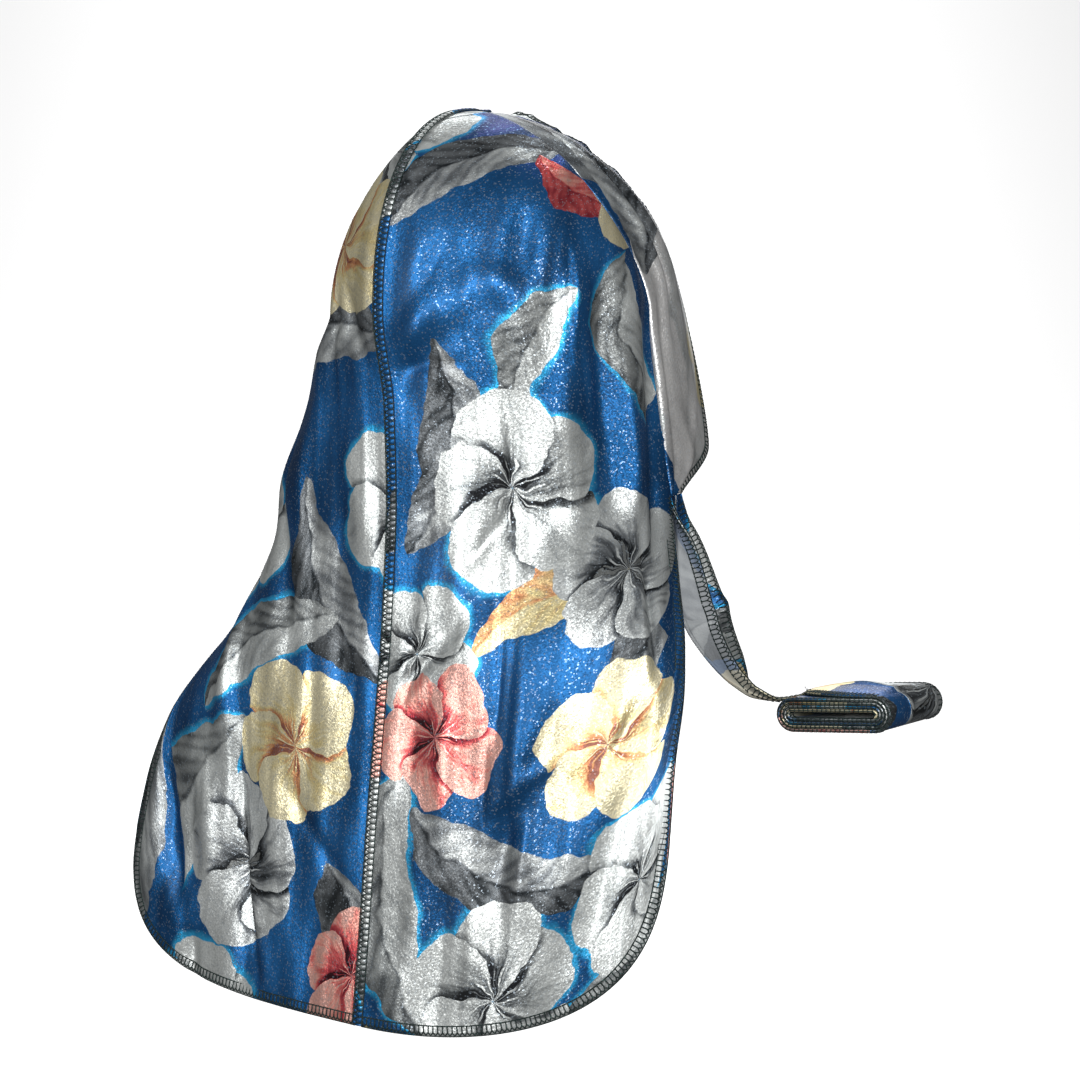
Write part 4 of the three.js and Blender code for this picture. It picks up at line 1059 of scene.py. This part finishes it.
TIES = {side: tie_grid(side) for side in (RIGHT, LEFT)}
for side, name in ((RIGHT, "velvet_tie_right"), (LEFT, "velvet_tie_left")):
    points, normals = TIES[side]
    across, down = cloth_lengths(points)
    width_share = np.linspace(0, 1, TIE_COLUMNS + 1)
    print_place = np.stack([np.broadcast_to(0.06 + width_share * TIE_WIDTH, across.shape), -0.02 - down], -1)
    tie = cut_cloth(name, points, -normals, print_place)
    finish_cloth(tie, velvet, knit_back)
    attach(tie, "root")
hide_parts("tie_right")
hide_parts("tie_left")

# Serged edges
# Every free edge is overlocked in dark thread: the sides and hem of the tail, the front of the band and both
# edges of the ties. The thread wraps round the edge, with a needle line a few millimetres in from it.
SERGE_WIDTH, SERGE_PITCH, SERGE_THREAD = 0.0048, 0.0026, 0.00065
ROWS_INSIDE, COLUMNS_INSIDE = 4, 8
skin = CLOTH / 2 + 0.0001
half_pitch = SERGE_PITCH / 2
edge_stitch = twist_thread("edge_stitch", [
    [(SERGE_WIDTH, 0, side * skin), (0.35 * SERGE_WIDTH, 0, side * (skin + 0.0002)),
     (0.12 * SERGE_WIDTH, 0.7 * half_pitch, side * skin), (-0.0002, half_pitch, 0)]
    for side in (1, -1)
] + [
    [(0.35 * SERGE_WIDTH, 0, side * (skin + 0.0002)), (0.12 * SERGE_WIDTH, -0.7 * half_pitch, side * skin),
     (-0.0002, -half_pitch, 0)]
    for side in (1, -1)
] + [
    [(-0.0003, -half_pitch, 0), (-0.0003, half_pitch, 0)],
    [(SERGE_WIDTH, -0.9 * half_pitch, skin), (SERGE_WIDTH, 0.9 * half_pitch, skin)],
], SERGE_THREAD)


def serge(name, edge, inside, ups):
    """Sews along one edge of a cloth grid, given the next points inside it and the cloth's normals."""
    edge, inwards, ups = evenly(SERGE_PITCH, edge, inside - edge, ups)
    sew(name, edge_stitch, SERGE_PITCH, edge, inwards, ups)


for side, word in ((RIGHT, "right"), (LEFT, "left")):
    points, normals = GRIDS[side]
    hem_columns = np.arange(PANEL_COLUMNS - 1, 0, -1)
    side_rows = np.arange(ROOT_ROW, len(points))
    edge = np.concatenate([points[side_rows, -1], points[-1, hem_columns]])
    # The way in and the cloth's face are read a few rows and columns inside the edge, clear of the corner.
    inner_rows = np.concatenate([side_rows, np.full_like(hem_columns, len(points))])
    inner_rows = np.minimum(inner_rows, len(points) - ROWS_INSIDE)
    inner_columns = np.concatenate([np.full_like(side_rows, PANEL_COLUMNS), hem_columns])
    inner_columns = np.minimum(inner_columns, PANEL_COLUMNS - COLUMNS_INSIDE)
    serge(f"hem_thread_{word}", edge, points[inner_rows, inner_columns], normals[inner_rows, inner_columns])
    points, normals = TIES[side]
    for column, inner, edge_word in ((0, 2, "rear"), (-1, -3, "front")):
        serge(f"tie_thread_{word}_{edge_word}", points[2:, column], points[2:, inner], normals[2:, column])
serge("band_thread", band_points[:, -1], band_points[:, -3], band_normals[:, -1])
bpy.data.objects.remove(edge_stitch)

# Floor, backdrop and lights
# A pale paper sweep that runs under the cap and up behind it. The main and side lamps rake the folds from the
# wearer's right and from behind, a front lamp fills the face opening, and the last one lights the paper.
TOWARDS_BACKDROP = Vector((math.cos(math.radians(50)), -math.sin(math.radians(50)), 0))
bpy.ops.mesh.primitive_plane_add(size=7, location=(0, 0, -0.6), rotation=(0, 0, math.radians(40)))
sweep = bpy.context.object
sweep.name = "paper_sweep"
bpy.ops.object.transform_apply(location=True, rotation=True, scale=True)
bpy.ops.object.mode_set(mode="EDIT")
bpy.ops.mesh.select_all(action="DESELECT")
bpy.ops.object.mode_set(mode="OBJECT")
for vertex in sweep.data.vertices:
    vertex.select = vertex.co.dot(TOWARDS_BACKDROP) > 3
for edge in sweep.data.edges:
    edge.select = all(sweep.data.vertices[end].select for end in edge.vertices)
bpy.ops.object.mode_set(mode="EDIT")
bpy.ops.mesh.extrude_region_move(TRANSFORM_OT_translate={"value": (0, 0, 4)})
bpy.ops.mesh.select_all(action="DESELECT")
bpy.ops.object.mode_set(mode="OBJECT")
for edge in sweep.data.edges:
    ends = [sweep.data.vertices[end].co for end in edge.vertices]
    edge.select = all(end.dot(TOWARDS_BACKDROP) > 3 and end.z < 0 for end in ends)
bpy.ops.object.mode_set(mode="EDIT")
bpy.ops.mesh.bevel(offset=1.6, segments=16, affect="EDGES")
bpy.ops.object.mode_set(mode="OBJECT")
bpy.ops.object.shade_smooth()
paper = bpy.data.materials.new("matt_paper")
paper.use_nodes = True
paper.node_tree.nodes["Principled BSDF"].inputs["Base Color"].default_value = linear("#f2f2f2")
paper.node_tree.nodes["Principled BSDF"].inputs["Roughness"].default_value = 0.9
sweep.data.materials.append(paper)
# The white paper is kept out of the cloth's sheen, as with black flags in a studio, so that folds stay dark.
sweep.visible_diffuse = False
sweep.visible_glossy = False
sweep.select_set(False)


def soft_lamp(name, place, aim, size, watts):
    bpy.ops.object.light_add(type="AREA", location=place)
    lamp = bpy.context.object
    lamp.name = name
    lamp.rotation_euler = (Vector(aim) - Vector(place)).to_track_quat("-Z", "Y").to_euler()
    lamp.data.size = size
    lamp.data.energy = watts


soft_lamp("main_lamp", (-1.15, 0.75, 0.25), (0, 0, -0.25), 0.7, 16)
soft_lamp("side_lamp", (0.0, 1.4, 0.0), (0, 0, -0.3), 0.7, 12)
soft_lamp("front_lamp", (0.8, -1.4, 0.3), (0, 0, -0.25), 0.9, 14)
soft_lamp("paper_lamp", (0.9, -1.1, 1.6), (1.7, -2.0, -0.6), 1.4, 70)
world = bpy.context.scene.world or bpy.data.worlds.new("studio")
bpy.context.scene.world = world
world.use_nodes = True
world.node_tree.nodes["Background"].inputs["Color"].default_value = linear("#ffffff")
world.node_tree.nodes["Background"].inputs["Strength"].default_value = 0.18
bpy.context.scene.view_settings.view_transform = "Standard"
